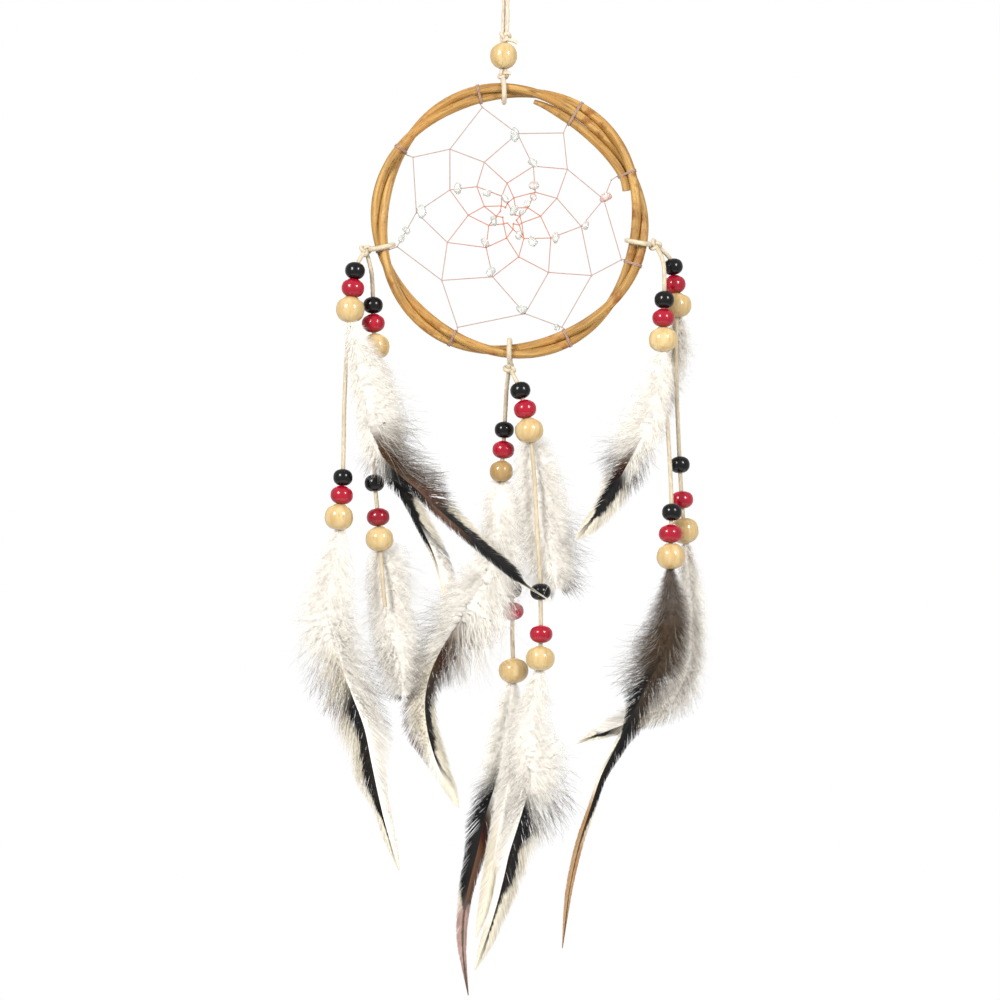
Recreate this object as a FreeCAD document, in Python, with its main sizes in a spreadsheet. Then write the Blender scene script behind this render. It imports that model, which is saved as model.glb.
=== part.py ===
import FreeCAD, Part
import math
import os

# Dream catcher: a twisted withe hoop with a thread web, hung by a cord through one
# wooden bead. Three tassels are tied to the hoop, left, bottom and right. Each is one
# cord doubled through its tie, so two strands hang down, and each strand carries an
# upper and a lower trio of beads with feathers glued into the natural beads.
# Frame: +X right, +Y away from the viewer, +Z up. The origin is the top of the
# hanging loop, where the hook holds it.

Vector = FreeCAD.Vector
Rotation = FreeCAD.Rotation
Placement = FreeCAD.Placement

doc = FreeCAD.newDocument("dream_catcher")

# ---------------------------------------------------------------- driving dimensions
sheet = doc.addObject("Spreadsheet::Sheet", "Dimensions")
DIMENSIONS = {
    "hoop_diameter": 120.0,
    "hoop_centre_x": 2.0,
    "hoop_centre_z": -114.4,
    "withe_diameter": 3.75,
    "withe_spacing": 3.95,
    "withe_twists": 3,
    "cord_diameter": 1.9,
    "hanging_cord_diameter": 1.7,
    "tie_cord_diameter": 1.7,
    "tie_ring_radius": 5.05,
    "tie_knot_radius": 2.9,
    "tie_knot_offset": 7.3,
    "neck_knot_radius": 2.4,
    "top_knot_radius": 2.7,
    "thread_width": 0.45,
    "lashing_width": 0.5,
    "black_bead_diameter": 8.2,
    "black_bead_height": 7.2,
    "red_bead_diameter": 9.7,
    "red_bead_height": 7.9,
    "natural_bead_diameter": 12.0,
    "natural_bead_height": 10.2,
    "small_bore": 2.9,
    "large_bore": 5.9,
    "top_bore": 4.0,
    "feather_thickness": 1.4,
    "quill_width": 1.2,
}
for row, (alias, value) in enumerate(DIMENSIONS.items(), start=1):
    sheet.set(f"A{row}", alias)
    sheet.set(f"B{row}", str(value))
    sheet.setAlias(f"B{row}", alias)
doc.recompute()


def size(alias):
    """The value of one driving dimension."""
    return float(sheet.get(alias))


parts = []


def keep(obj, label):
    """Names a finished sub-part, whose label is also its file's name."""
    obj.Label = label
    parts.append(obj)
    return obj


def feature(label, shape):
    """A sub-part whose shape is made with Part's own functions."""
    obj = doc.addObject("Part::Feature", label)
    obj.Shape = shape
    return keep(obj, label)


# ---------------------------------------------------------------- hoop
centre = Vector(size("hoop_centre_x"), 0, size("hoop_centre_z"))
bundle_radius = (size("withe_spacing") + size("withe_diameter")) / 2
ring_radius = size("hoop_diameter") / 2 - bundle_radius


def on_hoop(angle, outward=0.0, back=0.0):
    """A point by its angle round the hoop, in degrees from +X, off the bundle's centre line."""
    turn = math.radians(angle)
    reach = ring_radius + outward
    return centre + Vector(reach * math.cos(turn), back, reach * math.sin(turn))


def arc_route(points):
    """Straight runs joined by tangent arcs, each as large as its two runs allow.

    Returns the wire and the smallest radius of its arcs."""
    edges = []
    radii = []
    start = points[0]
    for before, corner, after in zip(points, points[1:], points[2:]):
        into = (corner - before).normalize()
        out = (after - corner).normalize()
        turn = into.getAngle(out)
        cut = 0.45 * min((corner - before).Length, (after - corner).Length)
        radius = cut / math.tan(turn / 2)
        first = corner - into * cut
        last = corner + out * cut
        inside = (out - into).normalize()
        middle = corner + inside * (radius / math.cos(turn / 2) - radius)
        edges.append(Part.LineSegment(start, first).toShape())
        edges.append(Part.Arc(first, middle, last).toShape())
        radii.append(radius)
        start = last
    edges.append(Part.LineSegment(start, points[-1]).toShape())
    return Part.Wire(edges), min(radii)


def tube(name, points, diameter):
    """A round tube along a route, with its volume compared with section times length."""
    wire, radius = arc_route(points)
    heading = points[1] - points[0]
    profile = Part.Face(Part.Wire(Part.makeCircle(diameter / 2, points[0], heading)))
    solid = wire.makePipe(profile)
    if solid.ShapeType != "Solid":
        solid = solid.Solids[0]
    expected = math.pi * diameter**2 / 4 * wire.Length
    print(f"{name}: length {wire.Length:.1f}, smallest radius {radius:.1f}, "
          f"volume / expected {solid.Volume / expected:.4f}")
    if abs(solid.Volume / expected - 1) > 0.01:
        raise ValueError(f"{name} has the wrong volume")
    return solid


WITHE_STEP = 12.0
WITHE_GAP = 0.15
CORNER_EASE = 0.22
LASHING_EASE = 0.15


def twisted_withe(first_angle, phase):
    """The route of one withe, a full lap that winds round its neighbour and butts on itself."""
    lap = 360 - math.degrees(WITHE_GAP / ring_radius)
    count = round(lap / WITHE_STEP)
    route = []
    for i in range(count + 1):
        angle = first_angle + lap * i / count
        turn = math.radians(size("withe_twists") * angle + phase)
        half = size("withe_spacing") / 2
        outward = CORNER_EASE + half * math.cos(turn)
        route.append(on_hoop(angle, outward, half * math.sin(turn)))
    return route


withe = size("withe_diameter")
feature("hoop_withe_first", tube("hoop_withe_first", twisted_withe(100, 30), withe))
feature("hoop_withe_second", tube("hoop_withe_second", twisted_withe(256, 210), withe))

# The tail of the withe lies along the inside of the upper right of the hoop.
TAIL_FROM, TAIL_TO, TAIL_STEPS = 14.5, 78.5, 6
TAIL_GAP = 0.1
TAIL_START_DEPTH = -0.6
TAIL_STEP_DEPTH = 0.2
tail_inward = bundle_radius + withe / 2 + TAIL_GAP
tail_route = []
for i in range(TAIL_STEPS + 1):
    angle = TAIL_FROM + (TAIL_TO - TAIL_FROM) * i / TAIL_STEPS
    tail_route.append(on_hoop(angle, -tail_inward, TAIL_START_DEPTH + TAIL_STEP_DEPTH * i))
feature("hoop_withe_tail", tube("hoop_withe_tail", tail_route, withe))

# ---------------------------------------------------------------- web
# Eight hitches hang on lashings round the hoop. Every hitch of a further round takes up
# the middle of a segment of the round before. Each is (across, up) from the hoop's centre.
HITCH_ANGLES = [22.0, 58.6, 103.5, 146.6, 192.9, 243.9, 296.2, 340.9]
HITCH_RADII = [47.2, 44.4, 50.3, 49.8, 49.6, 50.9, 50.9, 50.9]
FURTHER_ROUNDS = [
    [(24.8, 22.3), (3.3, 37.6), (-25.7, 30.9), (-40.1, 3.7),
     (-29.2, -25.5), (6.6, -39.8), (35.2, -23.4), (40.4, 9.4)],
    [(10.2, 23.6), (-10.9, 25.3), (-25.7, 13.4), (-26.8, -9.2),
     (-7.3, -24.0), (16.7, -22.1), (30.8, -2.3), (20.3, 9.8)],
    [(-1.1, 16.3), (-14.1, 14.8), (-17.8, 2.5), (-10.1, -11.4),
     (3.9, -15.4), (17.7, -7.3), (13.3, 2.1), (11.0, 12.4)],
    [(-3.4, 10.7), (-10.9, 6.3), (-9.0, -1.9), (-1.3, -7.3),
     (6.1, -7.5), (5.2, -0.8), (7.9, 5.7), (1.8, 10.0)],
    [(-3.6, 6.5), (-5.7, 2.1), (-2.6, -1.2), (1.4, -3.5),
     (4.1, -1.7), (4.4, 2.1), (2.5, 5.7), (-0.9, 7.7)],
]

first_round = [
    Vector(r * math.cos(math.radians(a)), 0, r * math.sin(math.radians(a)))
    for a, r in zip(HITCH_ANGLES, HITCH_RADII)
]
rounds = [first_round]
for hitches in FURTHER_ROUNDS:
    rounds.append([Vector(across, 0, up) for across, up in hitches])


def cross(a, b):
    return a.x * b.z - a.z * b.x


def inset(corners, distance):
    """A polygon in the XZ plane with each side moved to its left by a distance."""
    moved = []
    count = len(corners)
    for i, corner in enumerate(corners):
        into = (corner - corners[i - 1]).normalize()
        out = (corners[(i + 1) % count] - corner).normalize()
        left = Vector(-into.z, 0, into.x)
        left_out = Vector(-out.z, 0, out.x)
        turn = cross(into, out)
        slide = cross((left_out - left) * distance, out) / turn
        moved.append(corner + left * distance + into * slide)
    return moved


def closed_wire(corners):
    return Part.makePolygon(corners + corners[:1])


def web_solid():
    """The whole net as one flat sheet of thread: its outline with every cell cut out."""
    half = size("thread_width") / 2
    outline = []
    for i in range(8):
        outline += [rounds[0][i], rounds[1][i]]
    holes = []
    for level in range(1, len(rounds) - 1):
        for i in range(8):
            cell = [rounds[level - 1][(i + 1) % 8], rounds[level][(i + 1) % 8],
                    rounds[level + 1][i], rounds[level][i]]
            holes.append(closed_wire(inset(cell, half)))
    eye = [rounds[-1][i // 2] if i % 2 else rounds[-2][i // 2] for i in range(16)]
    holes.append(closed_wire(inset(eye, half)))
    wires = [closed_wire(inset(outline, -half))] + holes
    face = Part.makeFace(wires, "Part::FaceMakerBullseye")
    solid = face.extrude(Vector(0, 2 * half, 0))
    solid.translate(centre - Vector(0, half, 0))
    return solid


feature("web_thread", web_solid())

LASHING_ROUND_TAIL = {22.0, 58.6}
LASHING_TAIL_EASE = 0.4
SHORTEST_STUB = 0.2
lashings = []
for angle, radius in zip(HITCH_ANGLES, HITCH_RADII):
    half = size("lashing_width") / 2
    ring = bundle_radius + half + LASHING_EASE
    shift = 0.0
    if angle in LASHING_ROUND_TAIL:
        ring += withe / 2 + LASHING_TAIL_EASE
        shift = -withe / 2
    along = on_hoop(angle + 90) - centre
    band = Part.makeTorus(ring, half, on_hoop(angle, shift), along)
    inner = on_hoop(angle, shift - ring)
    hitch = centre + (inner - centre).normalize() * radius
    if (inner - hitch).Length > SHORTEST_STUB:
        stub = Part.makeCylinder(half, (inner - hitch).Length, hitch, inner - hitch)
        band = band.fuse(stub)
    lashings.append(band)
feature("web_lashings", Part.makeCompound([s for band in lashings for s in band.Solids]))

# Clear stone chips threaded on the web: place (across, up) from the hoop's centre, length.
CHIPS = [
    (2.2, 37.4, 5.4), (10.0, 25.3, 5.0), (10.4, 15.5, 5.0), (41.2, 10.2, 4.8),
    (32.6, -1.7, 4.6), (19.8, -7.3, 5.0), (9.8, -8.8, 5.2), (4.1, -5.8, 4.2),
    (-10.5, -9.1, 5.0), (-8.0, -21.7, 5.0), (5.1, -38.0, 5.0), (20.2, -45.6, 4.0),
    (-37.9, 4.2, 5.6), (-22.3, 14.2, 4.8), (-9.8, 12.1, 5.0), (-1.9, 9.8, 4.0),
    (-46.4, -7.6, 4.2), (-44.3, -3.8, 3.6), (7.5, 7.7, 3.8), (10.2, 10.5, 3.2),
    (-6.8, 0.4, 4.4), (1.7, 4.5, 4.4), (5.6, 3.7, 3.2),
]
CHIP_THICKNESS = 0.28
CHIP_WIDTH = 0.33


def stone_chip(place, length, number):
    """A small tumbled splinter with eight flat sides."""
    spin = Rotation(Vector(0.3, 1, 0.2), 47 * number)
    thickness = CHIP_THICKNESS + 0.02 * (number % 4)
    reach = [length / 2, length * thickness, length * CHIP_WIDTH]
    ends = []
    for axis in range(3):
        for side in (-1, 1):
            end = Vector(0, 0, 0)
            end[axis] = side * reach[axis] * (1 - 0.08 * ((number + axis + side) % 3))
            ends.append(place + spin.multVec(end))
    faces = []
    for x_end in ends[0:2]:
        for y_end in ends[2:4]:
            for z_end in ends[4:6]:
                faces.append(Part.Face(closed_wire([x_end, y_end, z_end])))
    solid = Part.Solid(Part.Shell(faces))
    return solid if solid.Volume > 0 else solid.reversed()


chips = []
for number, (across, up, length) in enumerate(CHIPS):
    chips.append(stone_chip(centre + Vector(across, 0, up), length, number))
feature("crystal_chips", Part.makeCompound(chips))


# ---------------------------------------------------------------- ties round the hoop
def primitive(kind, name, at, rotation=Rotation(), **sizes):
    """A Part primitive whose sizes are expressions of the driving dimensions."""
    obj = doc.addObject(kind, name)
    for prop, expression in sizes.items():
        obj.setExpression(prop, expression)
    obj.Placement = Placement(at, rotation)
    return obj


def cut(name, base, tool):
    obj = doc.addObject("Part::Cut", name)
    obj.Base = base
    obj.Tool = tool
    return obj


def tie(place, angle, knot_alias, knot_offset, loop_label, knot_label):
    """A cord loop round the hoop's bundle, drawn tight in a knot outside it."""
    heading = Rotation(Vector(0, 0, 1), on_hoop(angle + 90) - centre)
    ring = primitive("Part::Torus", f"{place}_ring", on_hoop(angle), heading,
                     Radius1="<<Dimensions>>.tie_ring_radius",
                     Radius2="<<Dimensions>>.tie_cord_diameter / 2")
    knot_at = on_hoop(angle, knot_offset)
    knot = primitive("Part::Sphere", f"{place}_knot", knot_at,
                     Radius=f"<<Dimensions>>.{knot_alias}")
    keep(cut(f"{place}_loop", ring, knot), loop_label)
    return keep(knot, knot_label)


LEFT_TIE, BOTTOM_TIE, RIGHT_TIE, TOP_TIE = 191.5, 270.0, 350.6, 92.65
tassel_offset = size("tie_knot_offset")
NECK_OFFSET = 6.9
knots = {
    "left": tie("left", LEFT_TIE, "tie_knot_radius", tassel_offset,
                "left_tie_loop", "left_tie_knot"),
    "bottom": tie("bottom", BOTTOM_TIE, "tie_knot_radius", tassel_offset,
                  "bottom_tie_loop", "bottom_tie_knot"),
    "right": tie("right", RIGHT_TIE, "tie_knot_radius", tassel_offset,
                 "right_tie_loop", "right_tie_knot"),
}
neck_knot = tie("top", TOP_TIE, "neck_knot_radius", NECK_OFFSET,
                "hoop_hanging_loop", "neck_knot")


# ---------------------------------------------------------------- beads
def bead(name, colour, bore_alias, at, heading):
    """A bored wooden bead: a ball flattened at both ends of its hole."""
    width = f"<<Dimensions>>.{colour}_bead_diameter"
    height = f"<<Dimensions>>.{colour}_bead_height"
    bore = f"<<Dimensions>>.{bore_alias}"
    turned = Rotation(Vector(0, 0, 1), heading)
    ball = primitive("Part::Ellipsoid", f"{name}_ball", at, turned,
                     Radius1=f"{height} / 2 / sqrt(1 - ({bore} / {width}) ^ 2)",
                     Radius2=f"{width} / 2", Radius3=f"{width} / 2")
    half = size(f"{colour}_bead_height")
    foot = at - turned.multVec(Vector(0, 0, half))
    hole = primitive("Part::Cylinder", f"{name}_hole", foot, turned,
                     Radius=f"{bore} / 2", Height=f"2 * {height}")
    return cut(name, ball, hole)


# ---------------------------------------------------------------- hanging cord
cord = size("hanging_cord_diameter")
top_knot_place = Vector(-0.1, 0, -35.2)
bead_place = Vector(-0.6, 0, -43.3)
# One length of cord: up from the top knot, round the hook, and down again beside itself.
hanging_route = [
    Vector(-0.8, 0.6, -31.8),
    Vector(-0.8, 0.7, -26.6),
    Vector(-0.2, 0.9, -20.2),
    Vector(-2.2, 0.8, -14.2),
    Vector(-4.6, 0.6, -9.0),
    Vector(-4.8, 0.3, -4.0),
    Vector(-1.8, 0.1, -0.9),
    Vector(2.5, -0.1, -0.9),
    Vector(5.6, -0.3, -4.0),
    Vector(5.3, -0.6, -9.0),
    Vector(2.9, -0.8, -14.2),
    Vector(0.8, -0.9, -20.2),
    Vector(1.3, -0.7, -26.6),
    Vector(0.8, -0.6, -31.8),
]
feature("hanging_cord", tube("hanging_cord", hanging_route, cord))
top_knot = keep(primitive("Part::Sphere", "top_knot", top_knot_place,
                          Radius="<<Dimensions>>.top_knot_radius"), "top_knot")
keep(bead("top_bead", "natural", "top_bore", bead_place, Vector(0, 0, 1)), "top_bead")

# The same cord goes on down through the bead as two strands side by side.
neck_place = neck_knot.Placement.Base
NECK_STRAND_OFFSET = 0.9
neck_strands = []
for side in (-1, 1):
    foot = Vector(bead_place.x + side * NECK_STRAND_OFFSET, 0, neck_place.z)
    strand = primitive("Part::Cylinder", f"neck_strand_{side + 1}", foot,
                       Radius="<<Dimensions>>.hanging_cord_diameter / 2")
    strand.Height = top_knot_place.z - foot.z
    neck_strands.append(strand)
neck_pair = doc.addObject("Part::MultiFuse", "neck_pair")
neck_pair.Shapes = neck_strands
below_top_knot = cut("below_top_knot", neck_pair, top_knot)
keep(cut("above_neck_knot", below_top_knot, neck_knot), "neck_cords")

# ---------------------------------------------------------------- tassel strands
# Each strand: its route from just under its knot to its lowest bead, which of the
# route's points carry the upper and the lower trio of beads, and its feathers.
START_GAP = 3.7
STRANDS = {
    "left_outer": {
        "knot": "left",
        "start": (-0.42, -0.36, -0.85),
        "route": [(-63.2, -3.6, -132.2), (-64.3, -4.5, -136.0), (-65.2, -4.7, -143.5),
                  (-66.4, -4.6, -152.6), (-67.6, -4.5, -167.0), (-68.9, -4.7, -190.0),
                  (-69.2, -4.6, -210.0), (-69.5, -4.5, -224.6), (-70.0, -4.6, -232.2),
                  (-71.2, -4.7, -241.6)],
        "upper": (1, 2, 3),
        "lower": (7, 8, 9),
        "tail": 0.0,
    },
    "left_inner": {
        "knot": "left",
        "start": (0.42, 0.3, -0.86),
        "route": [(-57.6, 1.9, -134.5), (-57.0, 2.3, -142.0), (-56.8, 2.5, -150.4),
                  (-56.7, 2.4, -158.2), (-55.8, 2.3, -168.2), (-55.6, 2.4, -186.0),
                  (-56.3, 2.5, -209.0), (-56.2, 2.3, -227.0), (-54.6, 2.4, -241.6),
                  (-54.0, 2.5, -251.0)],
        "upper": (2, 3, 4),
        "lower": (7, 8, 9),
        "tail": 28.0,
    },
    "bottom_right": {
        "knot": "bottom",
        "start": (0.45, -0.35, -0.82),
        "route": [(5.0, -2.2, -183.3), (6.6, -3.1, -187.3), (8.6, -3.3, -195.3),
                  (10.4, -3.2, -204.4), (12.3, -3.1, -219.0), (13.4, -3.3, -240.0),
                  (14.6, -3.2, -260.0), (15.2, -3.1, -273.7), (15.5, -3.2, -291.8),
                  (15.1, -3.3, -302.2)],
        "upper": (1, 2, 3),
        "lower": (7, 8, 9),
        "tail": 0.0,
    },
    "bottom_left": {
        "knot": "bottom",
        "start": (-0.25, 0.42, -0.87),
        "route": [(0.7, 3.4, -185.2), (0.3, 4.8, -194.0), (-0.3, 5.4, -204.0),
                  (-0.7, 5.5, -212.6), (-1.6, 5.4, -221.9), (0.2, 5.3, -236.0),
                  (2.4, 5.5, -256.0), (3.0, 5.4, -273.1), (3.2, 5.3, -282.2),
                  (3.1, 5.4, -295.0), (3.7, 5.5, -307.8)],
        "upper": (2, 3, 4),
        "lower": (7, 8, 10),
        "tail": 0.0,
    },
    "right_front": {
        "knot": "right",
        "start": (0.35, -0.6, -0.72),
        "route": [(67.8, -5.2, -130.4), (68.3, -7.0, -138.6), (68.1, -7.6, -148.6),
                  (67.7, -7.7, -156.4), (67.5, -7.6, -165.6), (68.1, -7.5, -181.0),
                  (69.6, -7.7, -203.0), (70.8, -7.6, -223.0), (71.4, -7.5, -239.5),
                  (70.8, -7.6, -248.7), (70.9, -7.7, -258.4)],
        "upper": (2, 3, 4),
        "lower": (8, 9, 10),
        "tail": 0.0,
    },
    "right_back": {
        "knot": "right",
        "start": (0.8, 0.35, -0.5),
        "route": [(70.7, 2.4, -129.0), (72.4, 3.3, -133.8), (73.1, 3.5, -141.4),
                  (74.0, 3.4, -150.4), (73.7, 3.3, -166.0), (73.9, 3.5, -187.0),
                  (74.7, 3.4, -206.0), (75.3, 3.3, -219.1), (76.1, 3.5, -234.2),
                  (77.3, 3.4, -247.4)],
        "upper": (1, 2, 3),
        "lower": (7, 8, 9),
        "tail": 0.0,
    },
}
COLOURS = [("black", "small_bore"), ("red", "small_bore"), ("natural", "large_bore")]
INTO_BEAD = 1.5
TAIL_BEND = Vector(0.9, -0.1, 0)
TAIL_END_SHIFT = Vector(2.4, 0, 0)
bead_places = {}

for strand, plan in STRANDS.items():
    knot_place = knots[plan["knot"]].Placement.Base
    start = knot_place + Vector(*plan["start"]).normalize() * START_GAP
    route = [start] + [Vector(*point) for point in plan["route"]]
    ending = route[-1] - Vector(0, 0, INTO_BEAD + plan["tail"])
    if plan["tail"]:
        halfway_down = Vector(0, 0, -plan["tail"] / 2)
        route += [route[-1] + TAIL_BEND + halfway_down, ending + TAIL_END_SHIFT]
    else:
        route[-1] = ending
    feature(f"{strand}_cord", tube(f"{strand}_cord", route, size("cord_diameter")))
    for order, (colour, bore) in enumerate(COLOURS):
        pair = []
        for level in ("upper", "lower"):
            index = plan[level][order]
            at = Vector(*plan["route"][index])
            last = min(index + 2, len(route) - 1)
            heading = (route[index] - route[last]).normalize()
            name = f"{strand}_{level}_{colour}"
            pair.append(bead(name, colour, bore, at, heading))
            bead_places[name] = at
        both = doc.addObject("Part::Compound", f"{strand}_{colour}_pair")
        both.Links = pair
        keep(both, f"{strand}_{colour}_beads")

# ---------------------------------------------------------------- feathers
# Each feather is a flat pad of its outline: the spine's points from the bead's centre
# (across, up) and the half width at each. The quill goes up into the bead's hole.
QUILL_TOP = -2.6
QUILL_FOOT = -6.4
FEATHERS = {
    "left_outer_upper_feather": {
        "bead": "left_outer_upper_natural", "back": -2.1, "turn": -9.0, "side": 0.6,
        "spine": [(3.5, -24, 8), (9, -47, 12.5), (14, -63, 10), (21, -70, 7),
                  (32, -78.5, 5), (50, -96, 4.2), (74, -114.5, 3), (88.5, -125, 0.6)],
    },
    "left_inner_upper_feather": {
        "bead": "left_inner_upper_natural", "back": -1.75, "turn": 0.0, "side": 0.2,
        "spine": [(1.2, -22, 7), (4.6, -45, 4.4), (10.5, -58, 4.2), (17, -69, 4.2),
                  (23, -81, 3.8), (27.5, -94, 3.2), (30.2, -112, 0.6)],
    },
    "left_outer_lower_feather": {
        "bead": "left_outer_lower_natural", "back": 0.0, "turn": 0.0, "side": 0.0,
        "spine": [(-3.5, -22, 9), (-4.6, -41, 12), (-1.5, -58, 11.5), (5.5, -77, 10.5),
                  (14, -105, 8), (20, -134, 4.2), (25.5, -151, 0.6)],
    },
    "left_inner_lower_feather": {
        "bead": "left_inner_lower_natural", "back": 1.75, "turn": 0.0, "side": 0.4,
        "spine": [(1.2, -16, 8), (3, -32, 11), (5, -48, 11.5), (8, -60, 7), (10, -66, 1)],
    },
    "bottom_right_upper_feather": {
        "bead": "bottom_right_upper_natural", "back": 1.75, "turn": 0.0, "side": 0.4,
        "spine": [(4.4, -16, 6), (8.5, -33, 9), (10.5, -48, 9), (11.2, -58, 6.5),
                  (11.6, -63.5, 1)],
    },
    "bottom_left_upper_feather": {
        "bead": "bottom_left_upper_natural", "back": 1.75, "turn": 0.0, "side": -0.4,
        "spine": [(-3, -18, 7.5), (-6.5, -36, 8), (-11.5, -51, 7), (-18, -63, 7),
                  (-26, -76, 7), (-31.5, -93, 6), (-30.5, -117, 4.5), (-19, -144.5, 0.6)],
    },
    "bottom_left_lower_feather": {
        "bead": "bottom_left_lower_natural", "back": 0.0, "turn": 0.0, "side": 0.0,
        "spine": [(-2.6, -22, 8.5), (-6.5, -45, 9), (-10, -62, 7), (-15, -78, 5),
                  (-19.5, -94, 4), (-22, -112, 3), (-19.6, -139.5, 0.6)],
    },
    "bottom_right_lower_feather": {
        "bead": "bottom_right_lower_natural", "back": 0.0, "turn": 0.0, "side": 0.0,
        "spine": [(-1, -20, 10), (-3, -40, 12), (-6, -60, 9), (-11, -79, 7),
                  (-15.5, -97, 5.5), (-22, -119, 4), (-27.6, -134, 0.6)],
    },
    "bottom_right_rear_feather": {
        "bead": "bottom_right_lower_natural", "back": 1.75, "turn": 0.0, "side": 0.4,
        "spine": [(-4, -26, 5), (-10.5, -50, 5), (-17, -72, 5), (-22, -92, 4),
                  (-26.5, -118, 0.6)],
    },
    "right_front_upper_feather": {
        "bead": "right_front_upper_natural", "back": -1.75, "turn": 0.0, "side": -0.4,
        "spine": [(-1.6, -20, 8), (-5.5, -37, 9), (-11, -47, 9), (-17.5, -57.5, 7),
                  (-24, -68.5, 6), (-31, -78, 4), (-37.4, -86, 0.6)],
    },
    "right_back_upper_feather": {
        "bead": "right_back_upper_natural", "back": 1.75, "turn": 0.0, "side": 0.0,
        "spine": [(-0.6, -16, 6), (-3.8, -32, 6), (-7.5, -46, 4), (-10.5, -56, 0.8)],
    },
    "right_front_lower_feather": {
        "bead": "right_front_lower_natural", "back": 0.0, "turn": 0.0, "side": 0.0,
        "spine": [(-0.4, -24, 9), (-4, -42, 12), (-10, -58, 11), (-18, -73, 7),
                  (-27, -90, 4.2), (-35, -110, 3.2), (-40, -125, 2.8), (-44.4, -146, 2),
                  (-46.4, -168, 0.6)],
    },
    "right_back_lower_feather": {
        "bead": "right_back_lower_natural", "back": 0.0, "turn": 0.0, "side": 0.0,
        "spine": [(2.6, -26, 5), (3, -50, 6), (-3, -68, 6), (-16, -78, 5),
                  (-31, -85.5, 3.2), (-44.5, -91, 0.6)],
    },
}


def outline_sides(spine, quill):
    """The feather's two edges, each a list of points from the quill down to the tip."""
    left = []
    right = []
    middle = [Vector(quill[0], quill[1], 0)] + [Vector(x, y, 0) for x, y, _ in spine]
    for i, (x, y, half) in enumerate(spine, start=1):
        ahead = middle[min(i + 1, len(middle) - 1)] - middle[i - 1]
        across = Vector(-ahead.y, ahead.x, 0).normalize() * half
        right.append(middle[i] + across)
        left.append(middle[i] - across)
    return left, right


def smooth(points):
    curve = Part.BSplineCurve()
    curve.interpolate(points)
    return curve


def feather(label, plan):
    """A feather's body: its outline in the XZ plane, padded by the feather's thickness."""
    body = doc.addObject("PartDesign::Body", f"{label}_body")
    sketch = body.newObject("Sketcher::SketchObject", f"{label}_outline")
    plane = next(f for f in body.Origin.OriginFeatures if f.Role == "XZ_Plane")
    sketch.AttachmentSupport = (plane, [""])
    sketch.MapMode = "FlatFace"
    half = size("quill_width") / 2
    side = plan["side"]
    left, right = outline_sides(plan["spine"], (side, QUILL_FOOT))
    quill = [Vector(side - half, QUILL_FOOT, 0), Vector(side - half, QUILL_TOP, 0),
             Vector(side + half, QUILL_TOP, 0), Vector(side + half, QUILL_FOOT, 0)]
    sketch.addGeometry(Part.LineSegment(quill[0], quill[1]), False)
    sketch.addGeometry(Part.LineSegment(quill[1], quill[2]), False)
    sketch.addGeometry(Part.LineSegment(quill[2], quill[3]), False)
    sketch.addGeometry(smooth([quill[3]] + right), False)
    sketch.addGeometry(Part.LineSegment(right[-1], left[-1]), False)
    sketch.addGeometry(smooth([quill[0]] + left), False)
    pad = body.newObject("PartDesign::Pad", f"{label}_pad")
    pad.Profile = sketch
    pad.setExpression("Length", "<<Dimensions>>.feather_thickness")
    pad.Midplane = True
    at = bead_places[plan["bead"]] + Vector(0, plan["back"], 0)
    body.Placement = Placement(at, Rotation(Vector(0, 0, 1), plan["turn"]))
    return keep(body, label)


for label, plan in FEATHERS.items():
    feather(label, plan)

# ---------------------------------------------------------------- check and write
doc.recompute()
for obj in doc.Objects:
    if "Invalid" in obj.State or "Error" in obj.State:
        raise ValueError(f"{obj.Label} did not recompute: {obj.State}")
for obj in parts:
    if obj.Shape.isNull() or not obj.Shape.isValid():
        raise ValueError(f"{obj.Label} has no valid shape")
os.makedirs("parts", exist_ok=True)
for obj in parts:
    obj.Shape.exportStep(f"parts/{obj.Label}.step")
print(f"{len(parts)} sub-parts written")
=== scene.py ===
import math
import random

import bpy
from mathutils import Matrix, Vector


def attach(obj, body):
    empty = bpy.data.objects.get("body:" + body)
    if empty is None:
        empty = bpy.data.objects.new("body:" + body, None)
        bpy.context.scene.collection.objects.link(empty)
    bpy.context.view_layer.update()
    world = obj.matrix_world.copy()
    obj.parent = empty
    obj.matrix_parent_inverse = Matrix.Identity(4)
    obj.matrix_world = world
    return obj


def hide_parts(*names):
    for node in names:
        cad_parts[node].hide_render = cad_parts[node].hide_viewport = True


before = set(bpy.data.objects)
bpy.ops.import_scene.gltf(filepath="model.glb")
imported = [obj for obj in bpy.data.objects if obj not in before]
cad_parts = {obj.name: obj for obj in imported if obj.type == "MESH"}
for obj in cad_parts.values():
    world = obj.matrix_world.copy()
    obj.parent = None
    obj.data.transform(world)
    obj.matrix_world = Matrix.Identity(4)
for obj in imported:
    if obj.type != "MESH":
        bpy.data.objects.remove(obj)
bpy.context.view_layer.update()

# ---------------------------------------------------------------- room
# The dream catcher hangs clear of everything in a white studio, seen square on from far
# enough off that nothing is foreshortened. Two tall soft boxes light it from the front.
MM = 0.001
VIEW_WIDTH = 0.43
VIEW_DISTANCE = 1.6
VIEW_MIDDLE = (-0.00215, -0.23435)
FLOOR_HEIGHT = -0.6
scene = bpy.context.scene
scene.view_settings.view_transform = "Standard"


def put(tree, kind, feeds=None, **settings):
    """Adds a node to a tree. Each feed is a value, or another node's output."""
    node = tree.nodes.new(kind)
    for name, value in settings.items():
        setattr(node, name, value)
    for key, value in (feeds or {}).items():
        if isinstance(value, bpy.types.NodeSocket):
            tree.links.new(value, node.inputs[key])
        else:
            node.inputs[key].default_value = value
    return node


def calc(tree, operation, *terms):
    return put(tree, "ShaderNodeMath", dict(enumerate(terms)), operation=operation).outputs[0]


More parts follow.
